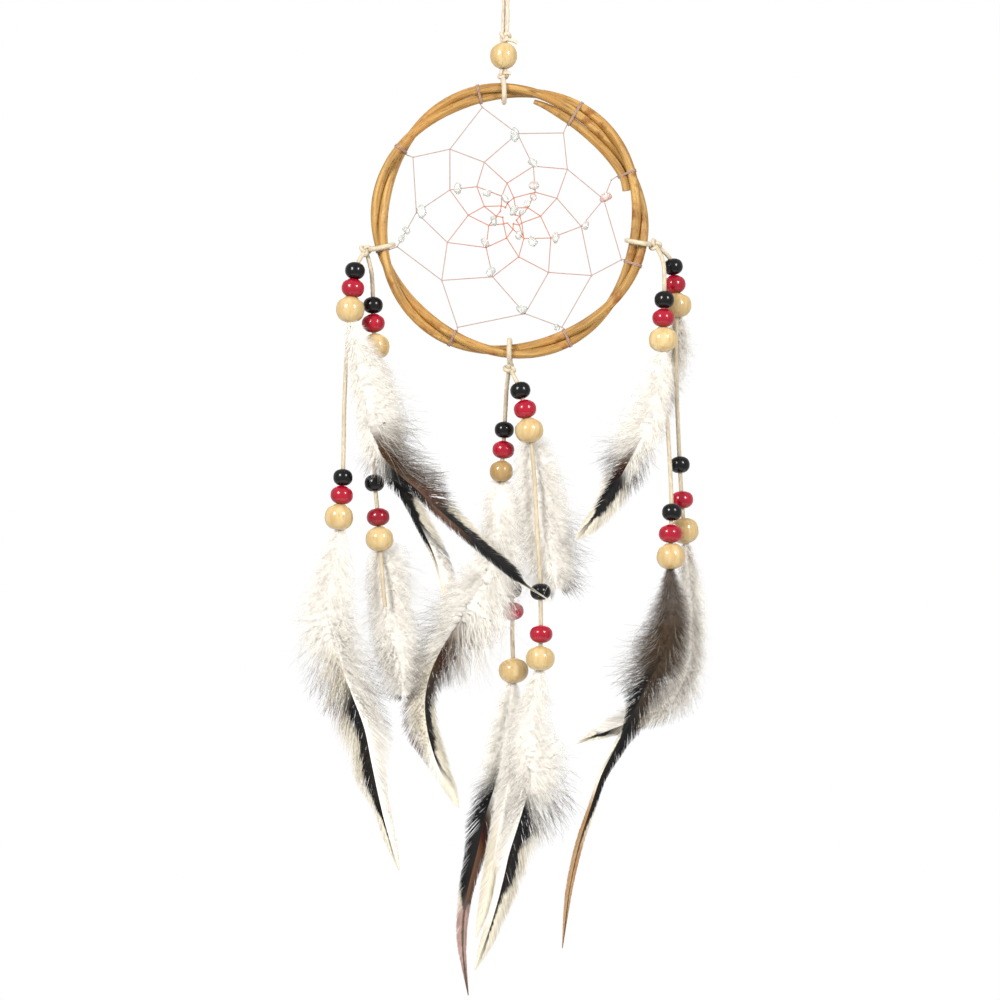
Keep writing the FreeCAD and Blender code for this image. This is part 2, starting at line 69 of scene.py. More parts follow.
def blended(tree, share, low, high):
    """A number that goes from low to high as share goes from 0 to 1."""
    return put(tree, "ShaderNodeMix", {0: share, 2: low, 3: high}).outputs[0]


def swung(tree, value, amount):
    """A value from 0 to 1 as a swing to both sides of nothing, as wide as amount."""
    return calc(tree, "MULTIPLY", calc(tree, "SUBTRACT", value, 0.5), amount)


def tinted(tree, share, first, second):
    """A colour that goes from the first to the second as share goes from 0 to 1."""
    node = put(tree, "ShaderNodeMix", {0: share, 6: first, 7: second}, data_type="RGBA")
    return node.outputs[2]


def shade(code):
    """A colour as a painter's chart gives it, as linear light."""
    parts = [int(code[i:i + 2], 16) / 255 for i in (1, 3, 5)]
    return (*[((c + 0.055) / 1.055) ** 2.4 if c > 0.04 else c / 12.92 for c in parts], 1.0)


def vector_calc(tree, operation, first, second, output=0):
    node = put(tree, "ShaderNodeVectorMath", {0: first, 1: second}, operation=operation)
    return node.outputs[output]


def noise(tree, scale, detail, vector=None, output=0, **feeds):
    """Smooth noise, over the piece itself or over another vector."""
    feeds.update(Vector=vector or object_place(tree), Scale=scale, Detail=detail)
    return put(tree, "ShaderNodeTexNoise", feeds).outputs[output]


def object_place(tree):
    return put(tree, "ShaderNodeTexCoord").outputs["Object"]


def new_material(name):
    """An empty material with its surface shader, and that material's tree."""
    material = bpy.data.materials.new(name)
    material.use_nodes = True
    tree = material.node_tree
    return material, tree, tree.nodes["Principled BSDF"]


camera_data = bpy.data.cameras.new("view")
camera_data.sensor_width = 36
camera_data.lens = camera_data.sensor_width * VIEW_DISTANCE / VIEW_WIDTH
camera = bpy.data.objects.new("view", camera_data)
camera.location = (VIEW_MIDDLE[0], -VIEW_DISTANCE, VIEW_MIDDLE[1])
camera.rotation_euler = (math.pi / 2, 0, 0)
scene.collection.objects.link(camera)
scene.camera = camera

world = bpy.data.worlds.new("studio")
world.use_nodes = True
scene.world = world
sky = world.node_tree
seen = put(sky, "ShaderNodeLightPath").outputs["Is Camera Ray"]
sky.nodes["Background"].inputs["Color"].default_value = (1, 1, 1, 1)
sky.links.new(blended(sky, seen, 0.64, 1.0), sky.nodes["Background"].inputs["Strength"])


def soft_box(name, place, width, height, power):
    """A rectangular soft light that faces the middle of the dream catcher."""
    lamp = bpy.data.lights.new(name, "AREA")
    lamp.shape = "RECTANGLE"
    lamp.size = width
    lamp.size_y = height
    lamp.energy = power
    box = bpy.data.objects.new(name, lamp)
    box.location = place
    aim = Vector((VIEW_MIDDLE[0], 0, VIEW_MIDDLE[1])) - Vector(place)
    box.rotation_euler = aim.to_track_quat("-Z", "Y").to_euler()
    scene.collection.objects.link(box)


soft_box("left_soft_box", (-0.75, -1.0, 0.35), 0.35, 0.5, 17)
soft_box("right_soft_box", (0.8, -0.95, 0.3), 0.3, 0.45, 12)
soft_box("back_soft_box", (0.0, 1.2, 0.2), 1.0, 1.0, 6)

floor_material, tree, surface = new_material("studio_floor")
speckle = put(tree, "ShaderNodeTexNoise", {"Scale": 40.0, "Detail": 4.0}).outputs[0]
tree.links.new(tinted(tree, speckle, shade("#E6E4E1"), shade("#EEECEA")), surface.inputs["Base Color"])
surface.inputs["Roughness"].default_value = 0.8
FLOOR_RADIUS = 0.5
FLOOR_SIDES = 96
rim = []
for i in range(FLOOR_SIDES):
    turn = 2 * math.pi * i / FLOOR_SIDES
    rim.append((FLOOR_RADIUS * math.cos(turn), FLOOR_RADIUS * math.sin(turn), FLOOR_HEIGHT))
floor_mesh = bpy.data.meshes.new("floor")
floor_mesh.from_pydata(rim, [], [range(FLOOR_SIDES)])
floor_mesh.materials.append(floor_material)
floor = bpy.data.objects.new("floor", floor_mesh)
scene.collection.objects.link(floor)

# ---------------------------------------------------------------- hoop
# One long peeled willow withe wound two laps on itself and twisted round itself, with a
# third run of it laid along the inside of the upper right, where both cut ends show.
HOOP_MIDDLE = Vector((2.0, 0, -114.4)) * MM
HOOP_DIAMETER = 120 * MM
WITHE_DIAMETER = 3.95 * MM
WITHE_SPACING = 3.95 * MM
BUNDLE_RADIUS = (WITHE_DIAMETER + WITHE_SPACING) / 2
RING_RADIUS = HOOP_DIAMETER / 2 - BUNDLE_RADIUS
TWISTS = 3
LAP_STEPS = 240
FIRST_PHASE = 30
SECOND_PHASE = 210
TOP_TIE = 92.65


def on_hoop(angle, outward=0.0, back=0.0):
    """A point on the middle of the hoop's bundle, or that far out from it or behind it."""
    a = math.radians(angle)
    reach = RING_RADIUS + outward
    return HOOP_MIDDLE + Vector((reach * math.cos(a), back, reach * math.sin(a)))


def thread_up(name, runs, **values):
    """An object of plain lines: each run is a list of points, with a value or more at each."""
    mesh = bpy.data.meshes.new(name)
    places = [point for run in runs for point in run]
    edges = []
    start = 0
    for run in runs:
        edges += [(start + i, start + i + 1) for i in range(len(run) - 1)]
        start += len(run)
    mesh.from_pydata(places, edges, [])
    for key, numbers in values.items():
        kind = "FLOAT_COLOR" if hasattr(numbers[0], "__len__") else "FLOAT"
        layer = mesh.attributes.new(key, kind, "POINT")
        for item, number in zip(layer.data, numbers):
            if kind == "FLOAT":
                item.value = number
            else:
                item.color = number
    piece = bpy.data.objects.new(name, mesh)
    scene.collection.objects.link(piece)
    return piece


def growing_tree(name, inputs):
    """An empty Geometry Nodes tree with named inputs, and its first and last nodes."""
    tree = bpy.data.node_groups.new(name, "GeometryNodeTree")
    tree.interface.new_socket("Geometry", in_out="INPUT", socket_type="NodeSocketGeometry")
    for label, kind, default in inputs:
        socket = tree.interface.new_socket(label, in_out="INPUT", socket_type=kind)
        if default is not None:
            socket.default_value = default
    tree.interface.new_socket("Geometry", in_out="OUTPUT", socket_type="NodeSocketGeometry")
    return tree, tree.nodes.new("NodeGroupInput").outputs, tree.nodes.new("NodeGroupOutput")


def grow(piece, tree, **values):
    """Runs a tree on a piece and leaves the result as its plain mesh."""
    modifier = piece.modifiers.new(tree.name, "NODES")
    modifier.node_group = tree
    for item in tree.interface.items_tree:
        key = item.name.replace(" ", "_").lower()
        if item.in_out == "INPUT" and key in values:
            modifier[item.identifier] = values[key]
    depsgraph = bpy.context.evaluated_depsgraph_get()
    grown = piece.evaluated_get(depsgraph)
    mesh = bpy.data.meshes.new_from_object(grown, preserve_all_data_layers=True, depsgraph=depsgraph)
    piece.modifiers.remove(modifier)
    piece.data = mesh
    mesh.name = piece.name
    return piece


def belong(piece, body, node):
    """What a finished piece rides on, which solid it stands for."""
    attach(piece, body)
    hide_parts(node)


def position(tree):
    return put(tree, "GeometryNodeInputPosition").outputs[0]


def chance_of(tree, low, high, seed):
    """A number between low and high, or a vector where they are vectors, for each point."""
    first, kind, output = (0, "FLOAT_VECTOR", 0) if isinstance(low, tuple) else (2, "FLOAT", 1)
    feeds = {first: low, first + 1: high, 8: seed}
    return put(tree, "FunctionNodeRandomValue", feeds, data_type=kind).outputs[output]


def resampled(tree, curve, length):
    feeds = {"Curve": curve, "Length": length}
    return put(tree, "GeometryNodeResampleCurve", feeds, mode="LENGTH").outputs[0]


def shifted(tree, geometry, offset):
    return put(tree, "GeometryNodeSetPosition", {"Geometry": geometry, "Offset": offset}).outputs[0]


def without(tree, geometry, selection):
    feeds = {"Geometry": geometry, "Selection": selection}
    return put(tree, "GeometryNodeDeleteGeometry", feeds, domain="POINT").outputs[0]


def planted(tree, points, thing, turn, size, **feeds):
    """The thing on every point, turned and sized, as one geometry."""
    feeds.update(Points=points, Instance=thing, Rotation=turn, Scale=size)
    things = put(tree, "GeometryNodeInstanceOnPoints", feeds).outputs[0]
    return put(tree, "GeometryNodeRealizeInstances", {"Geometry": things}).outputs[0]


def tube(tree, curve, sides, radius, caps=True):
    """A round skin along a curve."""
    ring = put(tree, "GeometryNodeCurvePrimitiveCircle", {"Resolution": sides, "Radius": 1.0}).outputs[0]
    feeds = {"Curve": curve, "Profile Curve": ring, "Scale": radius, "Fill Caps": caps}
    return put(tree, "GeometryNodeCurveToMesh", feeds).outputs[0]


def evenly(tree, size):
    return put(tree, "ShaderNodeCombineXYZ", {0: size, 1: size, 2: size}).outputs[0]


def set_down(tree, leave, geometry, material):
    """Ends a tree: one smooth plain mesh with its material."""
    for kind in ("GeometryNodeSetShadeSmooth", "GeometryNodeRealizeInstances"):
        geometry = put(tree, kind, {"Geometry": geometry}).outputs[0]
    feeds = {"Geometry": geometry, "Material": material}
    tree.links.new(put(tree, "GeometryNodeSetMaterial", feeds).outputs[0], leave.inputs[0])


def named(tree, key, data_type="FLOAT"):
    """The values that a geometry carries under a name."""
    return put(tree, "GeometryNodeInputNamedAttribute", {"Name": key}, data_type=data_type).outputs[0]


def keep_as(tree, geometry, key, value, data_type="FLOAT"):
    """The geometry, with the values stored on its points under a name."""
    feeds = {"Geometry": geometry, "Name": key, "Value": value}
    return put(tree, "GeometryNodeStoreNamedAttribute", feeds, data_type=data_type).outputs[0]


def stretched(tree, vector, factor):
    node = put(tree, "ShaderNodeVectorMath", {0: vector}, operation="SCALE")
    if isinstance(factor, bpy.types.NodeSocket):
        tree.links.new(factor, node.inputs["Scale"])
    else:
        node.inputs["Scale"].default_value = factor
    return node.outputs[0]


def summed(tree, first, second):
    return put(tree, "ShaderNodeVectorMath", {0: first, 1: second}, operation="ADD").outputs[0]


def round_stock_tree():
    """Round stock laid along lines: rods, cords and threads. It swells and thins a little,
    and may have plies that twist round it. "fibre" is the place on its unrolled surface."""
    tree, given, leave = growing_tree("round_stock", [
        ("Diameter", "NodeSocketFloat", 0.002),
        ("Step", "NodeSocketFloat", 0.001),
        ("Sides", "NodeSocketInt", 12),
        ("Unevenness", "NodeSocketFloat", 0.05),
        ("Swell Length", "NodeSocketFloat", 0.01),
        ("Plies", "NodeSocketFloat", 0.0),
        ("Ply Pitch", "NodeSocketFloat", 0.006),
        ("Ply Depth", "NodeSocketFloat", 0.0),
        ("Seed", "NodeSocketFloat", 0.0),
        ("Material", "NodeSocketMaterial", None),
    ])
    line = put(tree, "GeometryNodeMeshToCurve", {"Mesh": given["Geometry"]}).outputs[0]
    line = resampled(tree, line, given["Step"])
    line = keep_as(tree, line, "along", put(tree, "GeometryNodeSplineParameter").outputs["Length"])
    place = position(tree)
    scale = calc(tree, "DIVIDE", 1.0, given["Swell Length"])
    feeds = {"Vector": place, "W": given["Seed"], "Scale": scale, "Detail": 3.0}
    swell = put(tree, "ShaderNodeTexNoise", feeds, noise_dimensions="4D").outputs[0]
    swell = swung(tree, swell, given["Unevenness"])
    girth = calc(tree, "MULTIPLY", named(tree, "girth"), calc(tree, "ADD", swell, 1.0))
    girth = calc(tree, "MULTIPLY", girth, calc(tree, "MULTIPLY", given["Diameter"], 0.5))
    line = keep_as(tree, line, "thickness", girth)
    hoop = put(tree, "GeometryNodeCurvePrimitiveCircle", {"Resolution": given["Sides"], "Radius": 1.0})
    hoop = keep_as(tree, hoop.outputs[0], "ring", place, "FLOAT_VECTOR")
    feeds = {"Curve": line, "Profile Curve": hoop, "Scale": girth, "Fill Caps": True}
    skin = put(tree, "GeometryNodeCurveToMesh", feeds).outputs[0]
    ring = put(tree, "ShaderNodeSeparateXYZ", {0: named(tree, "ring", "FLOAT_VECTOR")}).outputs
    round_angle = calc(tree, "ARCTAN2", ring[1], ring[0])
    turned = calc(tree, "MULTIPLY", calc(tree, "DIVIDE", named(tree, "along"), given["Ply Pitch"]), math.pi)
    half_plies = calc(tree, "MULTIPLY", given["Plies"], 0.5)
    wave = calc(tree, "ADD", calc(tree, "MULTIPLY", round_angle, half_plies),
                calc(tree, "MULTIPLY", turned, given["Plies"]))
    groove = calc(tree, "SUBTRACT", calc(tree, "ABSOLUTE", calc(tree, "SINE", wave)), 1.0)
    out = put(tree, "GeometryNodeInputNormal").outputs[0]
    shift = stretched(tree, out, calc(tree, "MULTIPLY", groove, given["Ply Depth"]))
    skin = shifted(tree, skin, shift)
    flat = stretched(tree, named(tree, "ring", "FLOAT_VECTOR"), named(tree, "thickness"))
    lengthways = put(tree, "ShaderNodeCombineXYZ", {2: named(tree, "along")}).outputs[0]
    skin = keep_as(tree, skin, "fibre", summed(tree, flat, lengthways), "FLOAT_VECTOR")
    set_down(tree, leave, skin, given["Material"])
    return tree


round_stock = round_stock_tree()


def lay(name, runs, girths=None, **values):
    """A piece of round stock along the given runs of points."""
    if girths is None:
        girths = [1.0] * sum(len(run) for run in runs)
    return grow(thread_up(name, runs, girth=girths), round_stock, **values)


def grain_group():
    """Streaks along a piece, broad and fine. Used on willow, cord and turned wood."""
    group = bpy.data.node_groups.new("grain", "ShaderNodeTree")
    for label, kind, default in (("Vector", "NodeSocketVector", None),
                                 ("Scale", "NodeSocketFloat", 400.0),
                                 ("Stretch", "NodeSocketFloat", 0.1)):
        socket = group.interface.new_socket(label, in_out="INPUT", socket_type=kind)
        if default is not None:
            socket.default_value = default
    for label in ("Broad", "Fine"):
        group.interface.new_socket(label, in_out="OUTPUT", socket_type="NodeSocketFloat")
    given = group.nodes.new("NodeGroupInput").outputs
    leave = group.nodes.new("NodeGroupOutput").inputs
    scaling = put(group, "ShaderNodeCombineXYZ", {0: 1.0, 1: 1.0, 2: given["Stretch"]}).outputs[0]
    drawn = put(group, "ShaderNodeVectorMath", {0: given["Vector"], 1: scaling}, operation="MULTIPLY")
    for label, factor in (("Broad", 1.0), ("Fine", 4.0)):
        scale = calc(group, "MULTIPLY", given["Scale"], factor)
        feeds = {"Vector": drawn.outputs[0], "Scale": scale, "Detail": 4.0, "Distortion": 0.3}
        group.links.new(put(group, "ShaderNodeTexNoise", feeds).outputs[0], leave[label])
    return group


grain = grain_group()


def carried(tree, key, output="Vector"):
    """In a material, what the piece carries under a name."""
    return put(tree, "ShaderNodeAttribute", attribute_name=key).outputs[output]


def grained(tree, vector, scale, stretch):
    node = put(tree, "ShaderNodeGroup", node_tree=grain)
    tree.links.new(vector, node.inputs["Vector"])
    node.inputs["Scale"].default_value = scale
    node.inputs["Stretch"].default_value = stretch
    return node.outputs["Broad"], node.outputs["Fine"]


def between(tree, value, low, high):
    """0 below low, 1 above high, and a straight rise between them."""
    node = put(tree, "ShaderNodeMapRange", {0: value, 1: low, 2: high})
    return node.outputs[0]


def roughened(tree, surface, height, distance, strength=1.0):
    """Gives a surface fine relief from a height that changes over it."""
    feeds = {"Height": height, "Distance": distance, "Strength": strength}
    bump = put(tree, "ShaderNodeBump", feeds).outputs[0]
    tree.links.new(bump, surface.inputs["Normal"])


willow, tree, surface = new_material("peeled_willow")
broad, fine = grained(tree, carried(tree, "fibre"), 700.0, 0.06)
spots = noise(tree, 160.0, 5.0, carried(tree, "fibre"))
patches = noise(tree, 45.0, 2.0)
colour = tinted(tree, between(tree, broad, 0.36, 0.66), shade("#8C6226"), shade("#BE9652"))
colour = tinted(tree, between(tree, patches, 0.45, 0.75), colour, shade("#AE7C36"))
colour = tinted(tree, between(tree, spots, 0.57, 0.68), colour, shade("#8A571B"))
colour = tinted(tree, between(tree, fine, 0.60, 0.70), colour, shade("#5E3A10"))
tree.links.new(colour, surface.inputs["Base Color"])
tree.links.new(blended(tree, fine, 0.42, 0.68), surface.inputs["Roughness"])
roughened(tree, surface, calc(tree, "ADD", broad, fine), 0.0003, 0.8)


def withe_route(phase):
    """One lap of a withe as it winds round its neighbour, from under the top loop."""
    route = []
    for i in range(LAP_STEPS):
        angle = TOP_TIE + 360 * i / LAP_STEPS
        turn = math.radians(TWISTS * angle + phase)
        half = WITHE_SPACING / 2
        route.append(on_hoop(angle, half * math.cos(turn), half * math.sin(turn)))
    return route + route[:1]


WITHE = {"diameter": WITHE_DIAMETER, "step": 1.0 * MM, "sides": 20, "unevenness": 0.16,
         "swell_length": 14 * MM, "material": willow}
for name, phase in (("hoop_withe_first", FIRST_PHASE), ("hoop_withe_second", SECOND_PHASE)):
    piece = lay(name + "_bark", [withe_route(phase)], seed=float(phase), **WITHE)
    belong(piece, "hoop", name)

# The tail runs between these angles, slips a little from front to back, and is cut to a
# wedge over its last fifth.
TAIL_FROM = 14.5
TAIL_TO = 78.5
TAIL_STEPS = 32
TAIL_GIRTH = 0.98
WEDGE_FROM = 0.8
WEDGE_LOSS = 0.5
TAIL_SLIP = 1.2 * MM


def tail_inward(angle):
    """How far inside the bundle's middle the tail lies, nestled against the two withes."""
    turn = math.radians(TWISTS * angle + FIRST_PHASE)
    half = WITHE_SPACING / 2
    return half * abs(math.cos(turn)) + math.sqrt(WITHE_DIAMETER ** 2 - (half * math.sin(turn)) ** 2)


tail_route = []
tail_girths = []
for i in range(TAIL_STEPS + 1):
    share = i / TAIL_STEPS
    angle = TAIL_FROM + (TAIL_TO - TAIL_FROM) * share
    tail_route.append(on_hoop(angle, -tail_inward(angle), TAIL_SLIP * (share - 0.5)))
    wedge = max(0.0, (share - WEDGE_FROM) / (1 - WEDGE_FROM))
    tail_girths.append(TAIL_GIRTH - WEDGE_LOSS * wedge)
piece = lay("hoop_withe_tail_bark", [tail_route], tail_girths, seed=3.0, **WITHE)
belong(piece, "hoop", "hoop_withe_tail")

# ---------------------------------------------------------------- web
# One waxed thread: eight hitches on the hoop, then round after round hitched to the middle
# of the segments before it and drawn inwards, down to a small open eye.
THREAD = 0.45 * MM
HITCH_ANGLES = [22.0, 58.6, 103.5, 146.6, 192.9, 243.9, 296.2, 340.9]
HITCH_RADII = [47.2, 44.4, 50.3, 49.8, 49.6, 50.9, 50.9, 50.9]
# The hitches of the further rounds, across and up from the hoop's middle.
FURTHER_ROUNDS = [
    [(24.8, 22.3), (3.3, 37.6), (-25.7, 30.9), (-40.1, 3.7),
     (-29.2, -25.5), (6.6, -39.8), (35.2, -23.4), (40.4, 9.4)],
    [(10.2, 23.6), (-10.9, 25.3), (-25.7, 13.4), (-26.8, -9.2),
     (-7.3, -24.0), (16.7, -22.1), (30.8, -2.3), (20.3, 9.8)],
    [(-1.1, 16.3), (-14.1, 14.8), (-17.8, 2.5), (-10.1, -11.4),
     (3.9, -15.4), (17.7, -7.3), (13.3, 2.1), (11.0, 12.4)],
    [(-3.4, 10.7), (-10.9, 6.3), (-9.0, -1.9), (-1.3, -7.3),
     (6.1, -7.5), (5.2, -0.8), (7.9, 5.7), (1.8, 10.0)],
    [(-3.6, 6.5), (-5.7, 2.1), (-2.6, -1.2), (1.4, -3.5),
     (4.1, -1.7), (4.4, 2.1), (2.5, 5.7), (-0.9, 7.7)],
    [(-4.0, 4.2), (-3.0, 1.6), (-1.0, -0.8), (1.6, -1.2),
     (2.9, 0.4), (2.4, 2.6), (0.6, 5.0), (-1.8, 5.9)],
]
# The spiral steps inwards here: these hitches, as round and place, hang from the hitch
# beside them rather than from the round before.
SEAM = {(1, 0): (1, 7), (2, 7): (2, 6), (3, 6): (3, 5), (4, 5): (4, 4)}
HITCHES = len(HITCH_ANGLES)
rounds = [[]]
for angle, radius in zip(HITCH_ANGLES, HITCH_RADII):
    a = math.radians(angle)
    rounds[0].append(Vector((math.cos(a), 0, math.sin(a))) * radius * MM)
for hitches in FURTHER_ROUNDS:
    rounds.append([Vector((across, 0, up)) * MM for across, up in hitches])

waxed_thread, tree, surface = new_material("waxed_thread")
from_middle = vector_calc(tree, "DISTANCE", object_place(tree), HOOP_MIDDLE, "Value")
outer_share = between(tree, from_middle, 0.008, 0.036)
broad, fine = grained(tree, carried(tree, "fibre"), 3000.0, 0.3)
colour = tinted(tree, outer_share, shade("#BC6A40"), shade("#AA8E83"))
colour = tinted(tree, between(tree, broad, 0.45, 0.85), colour, shade("#8A5E4B"))
tree.links.new(colour, surface.inputs["Base Color"])
surface.inputs["Roughness"].default_value = 0.55
roughened(tree, surface, fine, 0.00003)

zigzags = []
for level in range(1, len(rounds)):
    for i in range(HITCHES):
        ends = [(level - 1, i), (level - 1, (i + 1) % HITCHES)]
        if (level, i) in SEAM:
            ends[0] = SEAM[level, i]
        for end_level, end in ends:
            zigzags.append([HOOP_MIDDLE + rounds[end_level][end], HOOP_MIDDLE + rounds[level][i]])
STRAND = {"diameter": THREAD, "step": 1.0 * MM, "sides": 6, "unevenness": 0.15,
          "swell_length": 2 * MM, "material": waxed_thread}
web = lay("web", zigzags, **STRAND)

ANY_TURN = (6.28, 6.28, 6.28)


def hitch_knots_tree():
    """A small lump of thread at every hitch, no two turned alike."""
    tree, given, leave = growing_tree("hitch_knots", [
        ("Radius", "NodeSocketFloat", 0.0005),
        ("Seed", "NodeSocketInt", 4),
        ("Material", "NodeSocketMaterial", None),
    ])
    spots = put(tree, "GeometryNodeMeshToPoints", {"Mesh": given["Geometry"]}).outputs[0]
    lump = put(tree, "GeometryNodeMeshIcoSphere", {"Radius": given["Radius"], "Subdivisions": 2}).outputs[0]
    turn = chance_of(tree, (0, 0, 0), ANY_TURN, given["Seed"])
    size = chance_of(tree, (0.8, 0.6, 0.8), (1.5, 1.0, 1.1), given["Seed"])
    lumps = planted(tree, spots, lump, turn, size)
    set_down(tree, leave, lumps, given["Material"])
    return tree


crossings = [HOOP_MIDDLE + p for hitches in rounds for p in hitches]
hitches = grow(thread_up("web_hitches", [[p] for p in crossings]), hitch_knots_tree(),
               radius=0.42 * MM, seed=4, material=waxed_thread)
for piece in (web, hitches):
    belong(piece, "hoop", "web_thread")

# Lashings: two turns of the same thread drawn tight round the withes at each hitch, and a
# short end down to the web.
LASHED_ROUND_TAIL = (22.0, 58.6)
LASHING_TURNS = 2.5
LASHING_PITCH = 0.5 * MM
LASHING_STEPS = 28
LASHING_SLACK = 1.03


def bundle_middles(angle):
    """Where the withes stand in a cut across the hoop, as (outward, back)."""
    middles = []
    for phase in (FIRST_PHASE, SECOND_PHASE):
        turn = math.radians(TWISTS * angle + phase)
        middles.append((WITHE_SPACING / 2 * math.cos(turn), WITHE_SPACING / 2 * math.sin(turn)))
    if angle in LASHED_ROUND_TAIL:
        middles.append((-tail_inward(angle), 0.0))
    return middles


def wrap(angle, gap):
    """A tight winding round the bundle: it touches each withe and spans between them."""
    middles = bundle_middles(angle)
    points = []
    for i in range(int(LASHING_TURNS * LASHING_STEPS) + 1):
        around = 2 * math.pi * i / LASHING_STEPS
        ahead = (math.cos(around), math.sin(around))
        out, back = max(middles, key=lambda m: m[0] * ahead[0] + m[1] * ahead[1])
        reach = WITHE_DIAMETER / 2 * LASHING_SLACK + gap
        slip = LASHING_PITCH * (i / LASHING_STEPS - LASHING_TURNS / 2) / RING_RADIUS
        points.append(on_hoop(angle + math.degrees(slip), out + reach * ahead[0], back + reach * ahead[1]))
    return points


windings = []
for angle, hitch in zip(HITCH_ANGLES, rounds[0]):
    windings.append(wrap(angle, THREAD / 2))
    windings.append([HOOP_MIDDLE + hitch, (windings[-1][-1] + HOOP_MIDDLE + hitch) / 2, windings[-1][-1]])
piece = lay("lashings", windings, **{**STRAND, "step": 0.5 * MM})
belong(piece, "hoop", "web_lashings")

# Stone chips: tumbled splinters of clear rock crystal, a few of them faintly pink or green,
# bored and threaded on the web as it was made. Each: across, up, length.
CHIPS = [
    (2.2, 37.4, 5.4), (10.0, 25.3, 5.0), (10.4, 15.5, 5.0), (41.2, 10.2, 4.8),
    (32.6, -1.7, 4.6), (19.8, -7.3, 5.0), (9.8, -8.8, 5.2), (4.1, -5.8, 4.2),
    (-10.5, -9.1, 5.0), (-8.0, -21.7, 5.0), (5.1, -38.0, 5.0), (20.2, -45.6, 4.0),
    (-37.9, 4.2, 5.6), (-22.3, 14.2, 4.8), (-9.8, 12.1, 5.0), (-1.9, 9.8, 4.0),
    (-46.4, -7.6, 4.2), (-44.3, -3.8, 3.6), (7.5, 7.7, 3.8), (10.2, 10.5, 3.2),
    (-6.8, 0.4, 4.4), (1.7, 4.5, 4.4), (5.6, 3.7, 3.2),
]
crystal, tree, surface = new_material("crystal")
veins = noise(tree, 700.0, 4.0, Distortion=1.0)
pinkish = between(tree, carried(tree, "tint", "Fac"), 0.75, 0.95)
colour = tinted(tree, pinkish, shade("#DDE0DA"), shade("#E9C4BA"))
colour = tinted(tree, between(tree, veins, 0.55, 0.75), colour, shade("#AEB3AA"))
tree.links.new(colour, surface.inputs["Base Color"])
tree.links.new(blended(tree, veins, 0.05, 0.3), surface.inputs["Roughness"])
surface.inputs["IOR"].default_value = 1.54
surface.inputs["Transmission Weight"].default_value = 0.45
roughened(tree, surface, veins, 0.0002, 0.5)


def chips_tree():
    """A splinter on each point, as long as the point says, knocked out of round."""
    tree, given, leave = growing_tree("stone_chips", [
        ("Knocks", "NodeSocketFloat", 0.3),
        ("Seed", "NodeSocketInt", 0),
        ("Material", "NodeSocketMaterial", None),
    ])
    spots = put(tree, "GeometryNodeMeshToPoints", {"Mesh": given["Geometry"]}).outputs[0]
    tint = chance_of(tree, 0.0, 1.0, given["Seed"])
    spots = keep_as(tree, spots, "tint", tint)
    pebble = put(tree, "GeometryNodeMeshIcoSphere", {"Radius": 0.5, "Subdivisions": 3}).outputs[0]
    turn = chance_of(tree, (0, 0, 0), ANY_TURN, given["Seed"])
    form = chance_of(tree, (1.0, 0.6, 0.6), (1.2, 0.85, 0.8), given["Seed"])
    form = stretched(tree, form, named(tree, "long"))
    stones = planted(tree, spots, pebble, turn, form)
    place = position(tree)
    cells = put(tree, "ShaderNodeTexVoronoi", {"Vector": place, "Scale": 420.0}).outputs["Distance"]
    out = put(tree, "GeometryNodeInputNormal").outputs[0]
    knock = swung(tree, cells, calc(tree, "MULTIPLY", given["Knocks"], -0.004))
    stones = shifted(tree, stones, stretched(tree, out, knock))
    set_down(tree, leave, stones, given["Material"])
    return tree


chip_places = []
chip_lengths = []
for across, up, length in CHIPS:
    chip_places.append([HOOP_MIDDLE + Vector((across, 0, up)) * MM])
    chip_lengths.append(length * MM)
piece = grow(thread_up("chips", chip_places, long=chip_lengths), chips_tree(),
             knocks=0.3, seed=11, material=crystal)
belong(piece, "hoop", "crystal_chips")

# ---------------------------------------------------------------- hanging cord
# A limp waxed cotton cord, doubled: round the hook, down through the top knot, the wooden
# bead and the neck knot, and round the hoop. It is laid from three thin plies.
HANGING_CORD = 1.7 * MM


def cord_material(name, light, dark):
    """Waxed cotton cord: pale plies with darker furrows and a fine fibre."""
    material, tree, surface = new_material(name)
    broad, fine = grained(tree, carried(tree, "fibre"), 1500.0, 0.25)
    stains = noise(tree, 60.0, 3.0)
    colour = tinted(tree, between(tree, broad, 0.3, 0.75), shade(light), shade(dark))
    colour = tinted(tree, between(tree, stains, 0.5, 0.8), colour, shade(dark))
    tree.links.new(colour, surface.inputs["Base Color"])
    tree.links.new(blended(tree, fine, 0.55, 0.8), surface.inputs["Roughness"])
    surface.inputs["Sheen Weight"].default_value = 0.25
    roughened(tree, surface, calc(tree, "ADD", broad, fine), 0.00008, 0.6)
    return material


cotton = cord_material("waxed_cotton", "#D8CAB4", "#B39E84")
suede = cord_material("suede_cord", "#CFC2A8", "#A8997C")


def smooth_line(name, points):
    """The smooth line of a cord's route, as points read from its NURBS spline."""
    curve = bpy.data.curves.new(name, "CURVE")
    curve.dimensions = "3D"
    spline = curve.splines.new("NURBS")
    spline.points.add(len(points) - 1)
    for point, place in zip(spline.points, points):
        point.co = (*place, 1)
    spline.order_u = 3
    spline.use_endpoint_u = True
    spline.resolution_u = 12
    carrier = bpy.data.objects.new(name, curve)
    mesh = bpy.data.meshes.new_from_object(carrier)
    line = [v.co.copy() for v in mesh.vertices]
    bpy.data.objects.remove(carrier)
    bpy.data.meshes.remove(mesh)
    bpy.data.curves.remove(curve)
    return line


def lay_cord(name, line, diameter, material, seed=0.0, girths=None):
    return lay(name, [line], girths, diameter=diameter, step=0.35 * MM, sides=14, unevenness=0.12,
               swell_length=3 * MM, plies=3.0, ply_pitch=7.0 * MM, ply_depth=0.05 * diameter,
               seed=seed, material=material)


